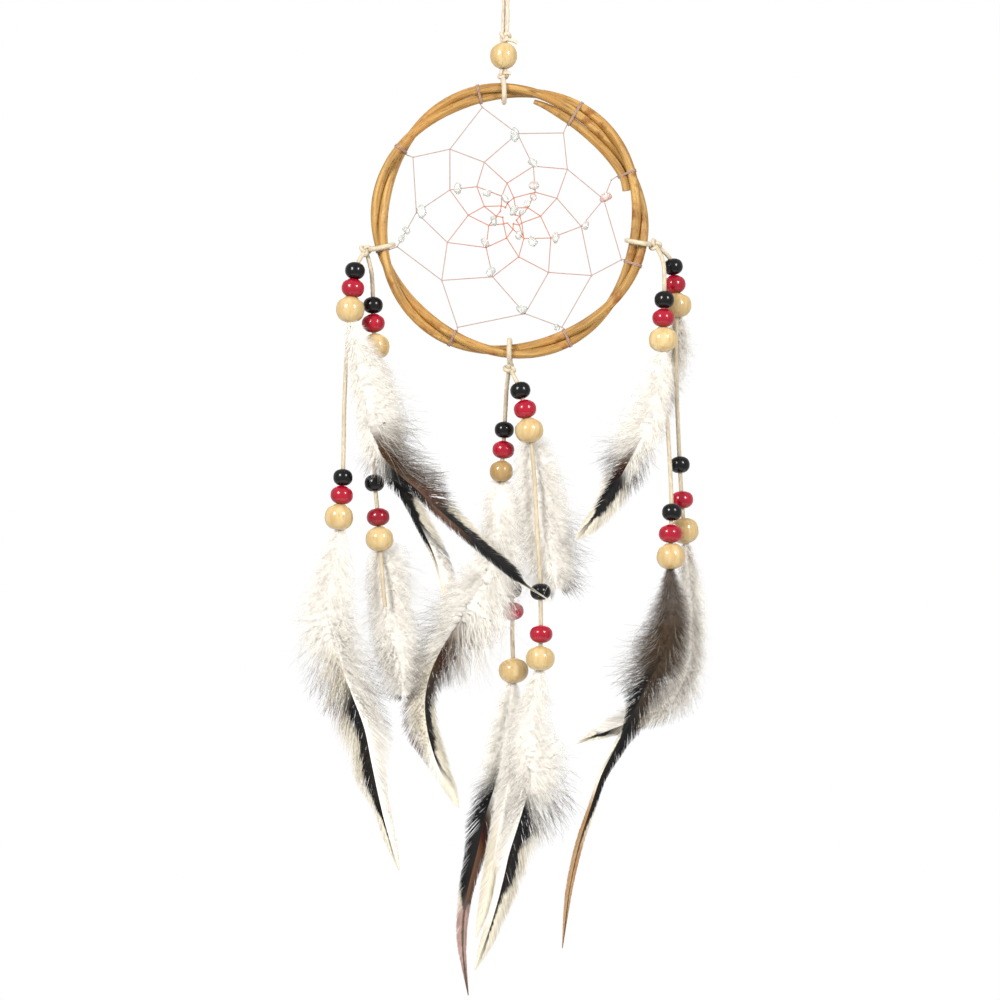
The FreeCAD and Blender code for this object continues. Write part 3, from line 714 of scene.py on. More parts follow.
hanging_route = [
    (-0.8, 0.6, -33.6), (-0.8, 0.7, -26.6), (-0.2, 0.9, -20.2), (-2.2, 0.8, -14.2),
    (-4.6, 0.6, -9.0), (-4.8, 0.3, -4.0), (-1.8, 0.1, -0.9), (2.5, -0.1, -0.9),
    (5.6, -0.3, -4.0), (5.3, -0.6, -9.0), (2.9, -0.8, -14.2), (0.8, -0.9, -20.2),
    (1.3, -0.7, -26.6), (0.8, -0.6, -33.6),
]
line = smooth_line("hanging_line", [Vector(p) * MM for p in hanging_route])
hanging = lay_cord("hanging_loop_cord", line, HANGING_CORD, cotton)
belong(hanging, "hanger", "hanging_cord")


def knot_line(place, radius, cord, turn):
    """A knot drawn tight: the cord goes three times over and under itself."""
    points = []
    steps = 90
    scale = (radius - cord / 2) / 3
    rotation = Matrix.Rotation(math.radians(turn), 3, "Y") @ Matrix.Rotation(math.radians(75), 3, "X")
    for i in range(steps + 1):
        t = 2 * math.pi * i / steps
        x = math.sin(t) + 2 * math.sin(2 * t)
        y = math.cos(t) - 2 * math.cos(2 * t)
        z = -1.6 * math.sin(3 * t)
        points.append(place + rotation @ Vector((x, y, z)) * scale)
    return points


def tie_knot(name, node, place, radius, cord, turn, tails, material, body):
    """A knot with its short cut tails, as one piece."""
    runs = [knot_line(place, radius, cord, turn)]
    for tail in tails:
        runs.append(smooth_line("tail", [place + Vector(p) * MM for p in tail]))
    piece = lay(name, runs, diameter=cord, step=0.35 * MM, sides=12, unevenness=0.12,
                swell_length=3 * MM, plies=3.0, ply_pitch=6.0 * MM, ply_depth=0.05 * cord,
                seed=turn, material=material)
    belong(piece, body, node)


TOP_KNOT = Vector((-0.1, 0, -35.2)) * MM
TOP_BEAD = Vector((-0.6, 0, -43.3)) * MM
NECK_KNOT = on_hoop(TOP_TIE, 6.9 * MM)
tie_knot("top_knot_turns", "top_knot", TOP_KNOT, 3.0 * MM, HANGING_CORD, 20,
         [[(0.5, -1.2, -1.2), (2.6, -1.4, -1.6), (4.4, -1.2, -1.9), (5.4, -0.9, -2.9)]],
         cotton, "suspension")
tie_knot("neck_knot_turns", "neck_knot", NECK_KNOT, 2.7 * MM, HANGING_CORD * 0.9, 50,
         [[(0.4, -1.0, 0.6), (2.2, -1.3, 0.9), (3.6, -1.2, 0.4)]],
         cotton, "suspension")
runs = []
for side in (-1, 1):
    x = TOP_BEAD.x + side * 0.85 * MM
    runs.append([Vector((x, 0, TOP_KNOT.z)), Vector((x, 0, TOP_BEAD.z)), Vector((x, 0, NECK_KNOT.z))])
piece = lay("bead_cords", runs, diameter=HANGING_CORD, step=0.4 * MM, sides=12, unevenness=0.1,
            plies=3.0, ply_depth=0.05 * HANGING_CORD, material=cotton)
belong(piece, "suspension", "neck_cords")

# Ties: a cord doubled round the hoop's bundle and drawn through itself outside it. The
# loops have a little play, so that each can turn on the hoop.
TIE_CORD = 1.7 * MM
TIE_RING = 5.05 * MM
TIE_STEPS = 48
TIE_KNOT_OUT = 7.3 * MM
TIE_KNOT_RADIUS = 3.1 * MM


def tie_ring(name, node, angle, lean, material, body):
    """The cord pulled tight round the bundle at an angle of the hoop."""
    run = []
    for i in range(TIE_STEPS + 1):
        around = 2 * math.pi * i / TIE_STEPS
        slip = math.degrees(lean * MM * math.sin(around) / RING_RADIUS)
        run.append(on_hoop(angle + slip, TIE_RING * math.cos(around), TIE_RING * math.sin(around)))
    piece = lay(name, [run], diameter=TIE_CORD * 1.25, step=0.35 * MM, sides=14, unevenness=0.12,
                swell_length=3 * MM, plies=3.0, ply_depth=0.03 * TIE_CORD, material=material)
    belong(piece, body, node)


tie_ring("hanging_loop_turns", "hoop_hanging_loop", TOP_TIE, 0.2, cotton, "suspension")
TIES = {"left": (191.5, 10, -0.5), "bottom": (270.0, 80, 0.3), "right": (350.6, 45, 0.5)}
knots = {}
for place, (angle, turn, lean) in TIES.items():
    knots[place] = on_hoop(angle, TIE_KNOT_OUT)
    tie_ring(f"{place}_tie_turns", f"{place}_tie_loop", angle, lean, suede, f"{place}_tie")
    tie_knot(f"{place}_knot_turns", f"{place}_tie_knot", knots[place], TIE_KNOT_RADIUS, TIE_CORD,
             turn, [], suede, f"{place}_tie")

# ---------------------------------------------------------------- strands
# Six limp cords hang from the ties, two from each, and carry the beads. Five end inside
# their lowest bead; one is left long and ends bare under it. (Millimetres.)
TASSEL_CORD = 1.9 * MM
INTO_KNOT = 1.5
INTO_BEAD = 1.5
STRANDS = {
    "left_outer": {
        "knot": "left", "start": (-0.42, -0.36, -0.85), "length": 114.8,
        "route": [(-63.2, -3.6, -132.2), (-64.3, -4.5, -136.0), (-65.2, -4.7, -143.5),
                  (-66.4, -4.6, -152.6), (-67.6, -4.5, -167.0), (-68.9, -4.7, -190.0),
                  (-69.2, -4.6, -210.0), (-69.5, -4.5, -224.6), (-70.0, -4.6, -232.2),
                  (-71.2, -4.7, -241.6)],
        "beads": ((1, 2, 3), (7, 8, 9)),
    },
    "left_inner": {
        "knot": "left", "start": (0.42, 0.3, -0.86), "length": 150.7, "tail": 28.0,
        "route": [(-57.6, 1.9, -134.5), (-57.0, 2.3, -142.0), (-56.8, 2.5, -150.4),
                  (-56.7, 2.4, -158.2), (-55.8, 2.3, -168.2), (-55.6, 2.4, -186.0),
                  (-56.3, 2.5, -209.0), (-56.2, 2.3, -227.0), (-54.6, 2.4, -241.6),
                  (-54.0, 2.5, -251.0)],
        "beads": ((2, 3, 4), (7, 8, 9)),
    },
    "bottom_right": {
        "knot": "bottom", "start": (0.45, -0.35, -0.82), "length": 124.3,
        "route": [(5.0, -2.2, -183.3), (6.6, -3.1, -187.3), (8.6, -3.3, -195.3),
                  (10.4, -3.2, -204.4), (12.3, -3.1, -219.0), (13.4, -3.3, -240.0),
                  (14.6, -3.2, -260.0), (15.2, -3.1, -273.7), (15.5, -3.2, -291.8),
                  (15.1, -3.3, -302.2)],
        "beads": ((1, 2, 3), (7, 8, 9)),
    },
    "bottom_left": {
        "knot": "bottom", "start": (-0.25, 0.42, -0.87), "length": 129.0,
        "route": [(0.7, 3.4, -185.2), (0.3, 4.8, -194.0), (-0.3, 5.4, -204.0),
                  (-0.7, 5.5, -212.6), (-1.6, 5.4, -221.9), (0.2, 5.3, -236.0),
                  (2.4, 5.5, -256.0), (3.0, 5.4, -273.1), (3.2, 5.3, -282.2),
                  (3.1, 5.4, -295.0), (3.7, 5.5, -307.8)],
        "beads": ((2, 3, 4), (7, 8, 10)),
    },
    "right_front": {
        "knot": "right", "start": (0.35, -0.6, -0.72), "length": 134.3,
        "route": [(67.8, -5.2, -130.4), (68.3, -7.0, -138.6), (68.1, -7.6, -148.6),
                  (67.7, -7.7, -156.4), (67.5, -7.6, -165.6), (68.1, -7.5, -181.0),
                  (69.6, -7.7, -203.0), (70.8, -7.6, -223.0), (71.4, -7.5, -239.5),
                  (70.8, -7.6, -248.7), (70.9, -7.7, -258.4)],
        "beads": ((2, 3, 4), (8, 9, 10)),
    },
    "right_back": {
        "knot": "right", "start": (0.8, 0.35, -0.5), "length": 124.4,
        "route": [(70.7, 2.4, -129.0), (72.4, 3.3, -133.8), (73.1, 3.5, -141.4),
                  (74.0, 3.4, -150.4), (73.7, 3.3, -166.0), (73.9, 3.5, -187.0),
                  (74.7, 3.4, -206.0), (75.3, 3.3, -219.1), (76.1, 3.5, -234.2),
                  (77.3, 3.4, -247.4)],
        "beads": ((1, 2, 3), (7, 8, 9)),
    },
}
for number, (strand, plan) in enumerate(STRANDS.items()):
    start = knots[plan["knot"]] / MM + Vector(plan["start"]).normalized() * INTO_KNOT
    route = [start] + [Vector(p) for p in plan["route"]]
    tail = plan.get("tail", 0.0)
    ending = route[-1] - Vector((0, 0, INTO_BEAD + tail))
    if tail:
        route += [route[-1] + Vector((0.9, -0.1, -tail / 2)), ending + Vector((2.4, 0, 0))]
    else:
        route[-1] = ending
    line = smooth_line(f"{strand}_line", [p * MM for p in route])
    piece = lay_cord(f"{strand}_lace", line, TASSEL_CORD, suede, seed=float(number))
    belong(piece, f"{strand}_strand", f"{strand}_cord")

# ---------------------------------------------------------------- beads
# Turned wooden beads, bored and dipped in gloss lacquer: black, crimson, or clear over the
# pale wood. Each trio slides on its cord until it jams. Sizes are in millimetres.
BEADS = {
    "black": {"width": 8.6, "height": 7.2, "bore": 2.5},
    "red": {"width": 10.0, "height": 7.9, "bore": 2.5},
    "natural": {"width": 12.5, "height": 10.9, "bore": 3.4},
}
LIP = 0.4
LIP_STEPS = 4
BEAD_SIDES = 40
BEAD_STEPS = 18
SQUARENESS = 2.2
SMALLER = {("bottom_left", 0, "natural"): 0.84}


def lacquer(material, tree, surface, colour, roughness, coat=0.6):
    tree.links.new(colour, surface.inputs["Base Color"])
    wear = noise(tree, 500.0, 4.0)
    tree.links.new(blended(tree, wear, roughness, roughness + 0.2), surface.inputs["Roughness"])
    surface.inputs["Coat Weight"].default_value = coat
    surface.inputs["Specular IOR Level"].default_value = 0.2
    surface.inputs["Coat Roughness"].default_value = 0.06
    roughened(tree, surface, wear, 0.00008, 0.35)
    return material


def object_grain(tree, scale, stretch):
    return grained(tree, object_place(tree), scale, stretch)


bead_materials = {}
material, tree, surface = new_material("black_lacquer")
colour = tinted(tree, object_grain(tree, 300.0, 0.4)[0], shade("#050506"), shade("#0C0B0E"))
bead_materials["black"] = lacquer(material, tree, surface, colour, 0.12, 0.3)
material, tree, surface = new_material("crimson_lacquer")
broad = object_grain(tree, 260.0, 0.4)[0]
tone = carried(tree, "tone", "Fac")
colour = tinted(tree, between(tree, broad, 0.3, 0.7), shade("#900420"), shade("#AC0A28"))
colour = tinted(tree, between(tree, tone, 0.0, 1.0), shade("#74051A"), colour)
bead_materials["red"] = lacquer(material, tree, surface, colour, 0.16)
material, tree, surface = new_material("lacquered_wood")
broad, fine = object_grain(tree, 420.0, 0.12)
tone = carried(tree, "tone", "Fac")
colour = tinted(tree, between(tree, broad, 0.35, 0.7), shade("#D2BB8A"), shade("#BD9C64"))
colour = tinted(tree, between(tree, fine, 0.6, 0.75), colour, shade("#A8844C"))
colour = tinted(tree, tone, shade("#8C6A38"), colour)
bead_materials["natural"] = lacquer(material, tree, surface, colour, 0.2)


def bead_shell(plan, at, heading, tone, size, verts, faces, tones, chance):
    """One bead: a ball squared a little, flat round its bored hole, with softened rims."""
    half_width = plan["width"] / 2 * size * chance.uniform(0.975, 1.02)
    half_height = plan["height"] / 2 * size * chance.uniform(0.96, 1.02)
    foot = plan["bore"] / 2 + LIP
    power = 2 / SQUARENESS
    last = math.acos((foot / half_width) ** (1 / power))
    full_height = half_height / math.sin(last) ** power
    profile = []
    for i in range(BEAD_STEPS + 1):
        t = last * (2 * i / BEAD_STEPS - 1)
        up = math.copysign(abs(math.sin(t)) ** power, t)
        profile.append((half_width * math.cos(t) ** power, full_height * up))
    for side in (1, -1):
        rim = []
        for i in range(1, LIP_STEPS + 1):
            t = math.pi / 2 * i / LIP_STEPS
            rim.append((foot - LIP * math.sin(t), side * (half_height - LIP * (1 - math.cos(t)))))
        profile += rim if side > 0 else rim[::-1]
    base = len(verts)
    turned = Vector(heading).to_track_quat("Z", "X").to_matrix()
    squash = chance.uniform(0.97, 1.03)
    for k in range(BEAD_SIDES):
        a = 2 * math.pi * k / BEAD_SIDES
        for r, z in profile:
            local = Vector((r * math.cos(a) * squash, r * math.sin(a) / squash, z))
            verts.append((Vector(at) + turned @ local) * MM)
            tones.append(tone)
    ring = len(profile)
    for k in range(BEAD_SIDES):
        here = base + k * ring
        beside = base + (k + 1) % BEAD_SIDES * ring
        for i in range(ring):
            after = (i + 1) % ring
            faces.append((here + i, beside + i, beside + after, here + after))


def bead_piece(name, node, plan, material, spots, body, seed):
    """The beads of one colour on a strand, as one piece."""
    chance = random.Random(seed)
    verts, faces, tones = [], [], []
    for at, heading, tone, size in spots:
        bead_shell(plan, at, heading, tone, size, verts, faces, tones, chance)
    mesh = bpy.data.meshes.new(name)
    mesh.from_pydata(verts, [], faces)
    layer = mesh.attributes.new("tone", "FLOAT", "POINT")
    for item, tone in zip(layer.data, tones):
        item.value = tone
    mesh.polygons.foreach_set("use_smooth", [True] * len(mesh.polygons))
    mesh.materials.append(material)
    piece = bpy.data.objects.new(name, mesh)
    scene.collection.objects.link(piece)
    belong(piece, body, node)


TOP_BEAD_SIZE = {"width": 12.0, "height": 10.8, "bore": 3.9}
bead_piece("top_bead_turned", "top_bead", TOP_BEAD_SIZE, bead_materials["natural"],
           [(TOP_BEAD / MM, (0, 0, 1), 0.85, 1.0)], "suspension", 1)
# How light the lacquered colour is: 0.85 but for these, as strand, trio and colour.
COMMON_TONE = 0.85
TONES = {("bottom_left", 0, "natural"): 0.3, ("left_inner", 1, "red"): 0.25,
         ("right_front", 0, "natural"): 1.0}
bead_places = {}
for number, (strand, plan) in enumerate(STRANDS.items()):
    for order, (colour, size) in enumerate(BEADS.items()):
        spots = []
        for level, indexes in enumerate(plan["beads"]):
            index = indexes[order]
            at = Vector(plan["route"][index])
            before = Vector(plan["route"][index - 1])
            after = Vector(plan["route"][min(index + 1, len(plan["route"]) - 1)])
            key = (strand, level, colour)
            spots.append((at, before - after, TONES.get(key, COMMON_TONE), SMALLER.get(key, 1.0)))
            bead_places[strand, level, colour] = at
        bead_piece(f"{strand}_{colour}_turned", f"{strand}_{colour}_beads", size, bead_materials[colour],
                   spots, f"{strand}_strand", 10 * number + order)

# ---------------------------------------------------------------- feathers
# Rooster saddle feathers, glued by the quill into the holes of the pale beads: downy white
# at the root, then a narrow vane with a dark middle and cream edges. Each is drawn barb by
# barb, with the barbules of its down.
PIGMENTS = {
    "white": shade("#F6F1E8"), "grey": shade("#9A948D"), "black": shade("#0F0B09"),
    "umber": shade("#4A3A2A"), "brown": shade("#6B4A36"), "cream": shade("#E3DBC8"),
    "tan": shade("#AD8A64"), "pink": shade("#B5938A"), "smoke": shade("#5B5047"), "olive": shade("#65503C"),
}
# How a side of the vane is coloured: next to the shaft, how far out, at the edge, speckles.
PAINTS = {
    "down": ("white", 1.0, "white", 0.0),
    "tipped": ("white", 0.70, "grey", 0.0),
    "dark_tipped": ("white", 0.62, "umber", 0.0),
    "flecked": ("white", 0.9, "grey", 0.45),
    "speckled": ("cream", 0.8, "brown", 0.5),
    "rooted": ("olive", 0.55, "grey", 0.1),
    "rusty": ("brown", 0.75, "umber", 0.15),
    "dusky": ("umber", 0.75, "grey", 0.1),
    "striped": ("black", 0.45, "cream", 0.15),
    "half": ("black", 0.7, "cream", 0.1),
    "lined": ("black", 0.22, "cream", 0.0),
    "black": ("black", 1.0, "black", 0.0),
    "brown": ("brown", 0.85, "umber", 0.1),
    "cream": ("cream", 1.0, "cream", 0.0),
    "pale": ("white", 1.0, "cream", 0.0),
    "tan": ("tan", 1.0, "cream", 0.0),
    "tan_lined": ("umber", 0.25, "tan", 0.0),
    "pink": ("smoke", 0.22, "pink", 0.0),
    "smoke": ("smoke", 0.62, "grey", 0.1),
    "smoke_tipped": ("umber", 0.6, "grey", 0.0),
}

plume, tree, surface = new_material("plumage")
across = carried(tree, "across", "Fac")
chance_value = carried(tree, "chance", "Fac")
edge = calc(tree, "ADD", across, swung(tree, noise(tree, 350.0, 3.0), 0.35))
edge = calc(tree, "ADD", edge, swung(tree, chance_value, 0.12))
past = calc(tree, "SUBTRACT", edge, carried(tree, "share", "Fac"))
colour = tinted(tree, between(tree, past, -0.06, 0.10), carried(tree, "inner", "Color"),
                carried(tree, "outer", "Color"))
flecks = calc(tree, "ADD", noise(tree, 900.0, 2.0), calc(tree, "MULTIPLY", chance_value, 0.12))
flecks = calc(tree, "MULTIPLY", between(tree, flecks, 0.56, 0.66), carried(tree, "speckle", "Fac"))
colour = tinted(tree, flecks, colour, shade("#5A4535"))
light = blended(tree, chance_value, 0.90, 1.03)
# Painted shade on the haze of down: darkened all over, and more in fine streaks and broad soft patches, for
# the shade inside the thick of the down.
fibre_shade_and_fray = noise(tree, 2600.0, 4.0, Distortion=1.5)
inside = between(tree, carried(tree, "lobe", "Fac"), 0.0, 0.0006)
broad_shade_noise = noise(tree, 260.0, 3.0)
shadow = calc(tree, "ADD", blended(tree, between(tree, fibre_shade_and_fray, 0.35, 0.65), 0.24, 0.12),
              blended(tree, between(tree, broad_shade_noise, 0.35, 0.65), 0.14, 0.0))
shadow = calc(tree, "MULTIPLY", inside, shadow)
light = calc(tree, "SUBTRACT", light, shadow)
# The haze of down thins out raggedly to nothing at its rim.
frayed = calc(tree, "ADD", carried(tree, "fade", "Fac"), swung(tree, fibre_shade_and_fray, 0.9))
gone = between(tree, frayed, 0.5, 1.05)
tree.links.new(calc(tree, "SUBTRACT", 1.0, gone), surface.inputs["Alpha"])
tree.links.new(stretched(tree, colour, light), surface.inputs["Base Color"])
tree.links.new(blended(tree, carried(tree, "fluff", "Fac"), 0.42, 0.85), surface.inputs["Roughness"])
surface.inputs["Sheen Weight"].default_value = 0.08
surface.inputs["Specular IOR Level"].default_value = 0.25


def lot(tree, given, low, high, salt):
    """A number drawn for each point, and other numbers for another salt."""
    return chance_of(tree, low, high, calc(tree, "ADD", given["Seed"], float(salt)))


def sideways_of(tree, tangent):
    """Square to the shaft in the feather's plane, and out to the side of this line."""
    aside = vector_calc(tree, "CROSS_PRODUCT", tangent, (0, 1, 0))
    return stretched(tree, aside, named(tree, "hand"))


def barb_roots(tree, given, line):
    """Where the barbs stand on the shaft. The vane has a share of them, the down all."""
    roots = resampled(tree, line, given["Spacing"])
    roots = keep_as(tree, roots, "along", put(tree, "GeometryNodeSplineParameter").outputs["Length"])
    tangent = put(tree, "GeometryNodeInputTangent").outputs[0]
    roots = keep_as(tree, roots, "tipward", tangent, "FLOAT_VECTOR")
    roots = keep_as(tree, roots, "chance", lot(tree, given, 0.0, 1.0, 1))
    clamped = put(tree, "ShaderNodeClamp", {0: named(tree, "fluff")}).outputs[0]
    roots = keep_as(tree, roots, "fluff", clamped)
    share = blended(tree, named(tree, "fluff"), given["Vane Share"], 1.0)
    kept = calc(tree, "LESS_THAN", lot(tree, given, 0.0, 1.0, 2), share)
    gone = put(tree, "FunctionNodeBooleanMath", {0: kept}, operation="NOT").outputs[0]
    roots = put(tree, "GeometryNodeCurveToPoints", {"Curve": roots}, mode="EVALUATED").outputs[0]
    return without(tree, roots, gone)


def barb_lines(tree, given, line):
    """The barbs as lines: out to their own side, leaning to the tip, tufted in the down."""
    roots = barb_roots(tree, given, line)
    fluff = named(tree, "fluff")
    tipward = named(tree, "tipward", "FLOAT_VECTOR")
    run = calc(tree, "ADD", calc(tree, "MULTIPLY", named(tree, "along"), 420.0),
               calc(tree, "MULTIPLY", named(tree, "hand"), 37.0))
    feeds = {"W": run, "Scale": 1.0, "Detail": 2.0}
    tufts = put(tree, "ShaderNodeTexNoise", feeds, noise_dimensions="1D").outputs[0]
    tufts = swung(tree, tufts, blended(tree, fluff, 0.05, 1.3))
    lean = blended(tree, fluff, given["Vane Lean"], given["Down Lean"])
    loose = calc(tree, "MULTIPLY", lot(tree, given, -1.0, 1.0, 3), blended(tree, fluff, 0.015, 0.5))
    angle = calc(tree, "ADD", calc(tree, "ADD", lean, tufts), loose)
    out = stretched(tree, sideways_of(tree, tipward), calc(tree, "SINE", angle))
    down = stretched(tree, tipward, calc(tree, "COSINE", angle))
    depth = blended(tree, fluff, 0.02, given["Depth"])
    lift = calc(tree, "MULTIPLY", lot(tree, given, -1.0, 1.0, 4), depth)
    heading = summed(tree, out, down)
    heading = summed(tree, heading, put(tree, "ShaderNodeCombineXYZ", {1: lift}).outputs[0])
    turn = put(tree, "FunctionNodeAlignRotationToVector", {"Vector": heading}, axis="X").outputs[0]
    reach = calc(tree, "MULTIPLY", named(tree, "reach"), blended(tree, fluff, 1.0, 1.2))
    length = calc(tree, "DIVIDE", reach, calc(tree, "SINE", lean))
    short = calc(tree, "MULTIPLY", lot(tree, given, 0.0, 1.0, 5), blended(tree, fluff, 0.06, 0.42))
    length = calc(tree, "MULTIPLY", length, calc(tree, "SUBTRACT", 1.0, short))
    length = calc(tree, "MAXIMUM", length, 0.0002)
    roots = keep_as(tree, roots, "barb", length)
    stick = put(tree, "GeometryNodeCurvePrimitiveLine", {"Start": (0, 0, 0), "End": (1, 0, 0)}).outputs[0]
    feeds = {"Curve": stick, "Count": given["Barb Points"]}
    stick = put(tree, "GeometryNodeResampleCurve", feeds).outputs[0]
    stick = keep_as(tree, stick, "across", put(tree, "GeometryNodeSplineParameter").outputs["Factor"])
    barbs = planted(tree, roots, stick, turn, evenly(tree, length))
    return bowed(tree, barbs)


def bowed(tree, barbs):
    """Bows the barbs towards the tip, and lets those of the down wander."""
    fluff = named(tree, "fluff")
    across = named(tree, "across")
    bow = calc(tree, "MULTIPLY", calc(tree, "MULTIPLY", across, across), named(tree, "barb"))
    bow = calc(tree, "MULTIPLY", bow, blended(tree, fluff, 0.16, 0.22))
    bend = stretched(tree, named(tree, "tipward", "FLOAT_VECTOR"), bow)
    feeds = {"Vector": position(tree), "W": calc(tree, "MULTIPLY", named(tree, "chance"), 3.0),
             "Scale": 130.0, "Detail": 1.5}
    wander = put(tree, "ShaderNodeTexNoise", feeds, noise_dimensions="4D").outputs["Color"]
    wander = vector_calc(tree, "SUBTRACT", wander, (0.5, 0.5, 0.5))
    amount = calc(tree, "MULTIPLY", calc(tree, "MULTIPLY", across, named(tree, "barb")),
                  calc(tree, "MULTIPLY", fluff, 0.9))
    return shifted(tree, barbs, summed(tree, bend, stretched(tree, wander, amount)))


def barb_skins(tree, given, barbs):
    """Each barb as a three-sided hair that tapers to its end."""
    full = blended(tree, named(tree, "fluff"), given["Vane Thickness"], given["Down Thickness"])
    taper = calc(tree, "MULTIPLY", calc(tree, "POWER", named(tree, "across"), 1.5), 0.8)
    return tube(tree, barbs, 3, calc(tree, "MULTIPLY", full, calc(tree, "SUBTRACT", 1.0, taper)))


def barbules(tree, given, barbs):
    """Short spikes off the barbs of the down, both ways."""
    feeds = {"Curve": barbs, "Length": given["Barbule Gap"]}
    spots = put(tree, "GeometryNodeCurveToPoints", feeds, mode="LENGTH").outputs
    downy = calc(tree, "GREATER_THAN", named(tree, "fluff"), 0.45)
    feeds = {"Vertices": 3, "Radius Top": 0.0, "Radius Bottom": 0.02, "Depth": 1.0}
    spike = put(tree, "GeometryNodeMeshCone", feeds, fill_type="NGON").outputs[0]
    aim = chance_of(tree, (-1, -1, -1), (1, 1, 1), given["Seed"])
    aim = summed(tree, stretched(tree, spots["Tangent"], 0.9), aim)
    turn = put(tree, "FunctionNodeAlignRotationToVector", {"Vector": aim}, axis="Z").outputs[0]
    long = calc(tree, "MULTIPLY", given["Barbule Length"], lot(tree, given, 0.5, 1.2, 6))
    shorter = calc(tree, "SUBTRACT", 1.0, calc(tree, "MULTIPLY", named(tree, "across"), 0.6))
    size = evenly(tree, calc(tree, "MULTIPLY", long, shorter))
    return planted(tree, spots["Points"], spike, turn, size, Selection=downy)


def haze_of_down(tree, given, line):
    """The thick of the down, where barbules lie too close to tell apart: a haze in two lobes,
    one on each side of the shaft, fading out under the loose barbs."""
    haze = resampled(tree, line, 0.0006)
    haze = keep_as(tree, haze, "spine", position(tree), "FLOAT_VECTOR")
    feeds = {0: named(tree, "fluff"), 1: 0.45, 2: 0.9}
    thick_down = put(tree, "ShaderNodeMapRange", feeds, interpolation_type="SMOOTHSTEP").outputs[0]
    lobe = calc(tree, "MULTIPLY", named(tree, "reach"), given["Haze Share"])
    lobe = calc(tree, "MULTIPLY", lobe, thick_down)
    haze = keep_as(tree, haze, "lobe", calc(tree, "MAXIMUM", lobe, 0.00005))
    lobe = named(tree, "lobe")
    aside = sideways_of(tree, put(tree, "GeometryNodeInputTangent").outputs[0])
    haze = shifted(tree, haze, stretched(tree, stretched(tree, aside, lobe), 0.8))
    haze = tube(tree, haze, 24, lobe, caps=False)
    spine = named(tree, "spine", "FLOAT_VECTOR")
    off = vector_calc(tree, "SUBTRACT", position(tree), spine)
    level = vector_calc(tree, "MULTIPLY", off, (1, 0, 1))
    fade = put(tree, "ShaderNodeVectorMath", {0: level}, operation="LENGTH").outputs["Value"]
    haze = keep_as(tree, haze, "fade", calc(tree, "DIVIDE", fade, calc(tree, "MULTIPLY", lobe, 1.8)))
    behind = put(tree, "ShaderNodeSeparateXYZ", {0: off}).outputs[1]
    haze = without(tree, haze, calc(tree, "GREATER_THAN", behind, 0.00002))
    flat = vector_calc(tree, "MULTIPLY", off, (1, 0.3, 1))
    lumps = noise(tree, 600.0, 4.0, position(tree), "Color")
    lumps = vector_calc(tree, "SUBTRACT", lumps, (0.5, 0.5, 0.5))
    lumps = stretched(tree, lumps, calc(tree, "MULTIPLY", lobe, 0.6))
    feeds = {"Geometry": haze, "Position": summed(tree, spine, summed(tree, flat, lumps))}
    haze = put(tree, "GeometryNodeSetPosition", feeds).outputs[0]
    haze = without(tree, haze, calc(tree, "LESS_THAN", lobe, 0.0002))
    haze = keep_as(tree, haze, "across", 0.3)
    return keep_as(tree, haze, "chance", 0.6)


def quill(tree, given, line):
    """The shaft, from the bare quill in the bead to a hair at the tip."""
    shaft = without(tree, line, calc(tree, "LESS_THAN", named(tree, "hand"), 0.0))
    shaft = resampled(tree, shaft, 0.0012)
    shaft = keep_as(tree, shaft, "across", 0.0)
    shaft = keep_as(tree, shaft, "chance", 0.4)
    thin = calc(tree, "MULTIPLY", put(tree, "GeometryNodeSplineParameter").outputs["Factor"], 0.85)
    thick = calc(tree, "MULTIPLY", given["Shaft Diameter"], 0.5)
    return tube(tree, shaft, 6, calc(tree, "MULTIPLY", thick, calc(tree, "SUBTRACT", 1.0, thin)))


def feather_tree():
    """A feather from its shaft's line, which is given twice, once for each side. Barbs stand
    close and parallel in the vane, and long, loose and hung with barbules in the down."""
    tree, given, leave = growing_tree("feather", [
        ("Spacing", "NodeSocketFloat", 0.0001),
        ("Vane Share", "NodeSocketFloat", 0.8),
        ("Barb Points", "NodeSocketInt", 5),
        ("Vane Thickness", "NodeSocketFloat", 0.00016),
        ("Down Thickness", "NodeSocketFloat", 0.0001),
        ("Vane Lean", "NodeSocketFloat", 0.5),
        ("Down Lean", "NodeSocketFloat", 1.0),
        ("Depth", "NodeSocketFloat", 0.7),
        ("Barbule Length", "NodeSocketFloat", 0.0028),
        ("Barbule Gap", "NodeSocketFloat", 0.0011),
        ("Haze Share", "NodeSocketFloat", 0.5),
        ("Shaft Diameter", "NodeSocketFloat", 0.0007),
        ("Seed", "NodeSocketInt", 0),
        ("Material", "NodeSocketMaterial", None),
    ])
    line = put(tree, "GeometryNodeMeshToCurve", {"Mesh": given["Geometry"]}).outputs[0]
    line = put(tree, "GeometryNodeCurveSplineType", {"Curve": line}, spline_type="CATMULL_ROM").outputs[0]
    barbs = barb_lines(tree, given, line)
    whole = tree.nodes.new("GeometryNodeJoinGeometry")
    for part in (barb_skins(tree, given, barbs), barbules(tree, given, barbs),
                 haze_of_down(tree, given, line), quill(tree, given, line)):
        tree.links.new(part, whole.inputs[0])
    set_down(tree, leave, whole.outputs[0], given["Material"])
    return tree


feather_growth = feather_tree()

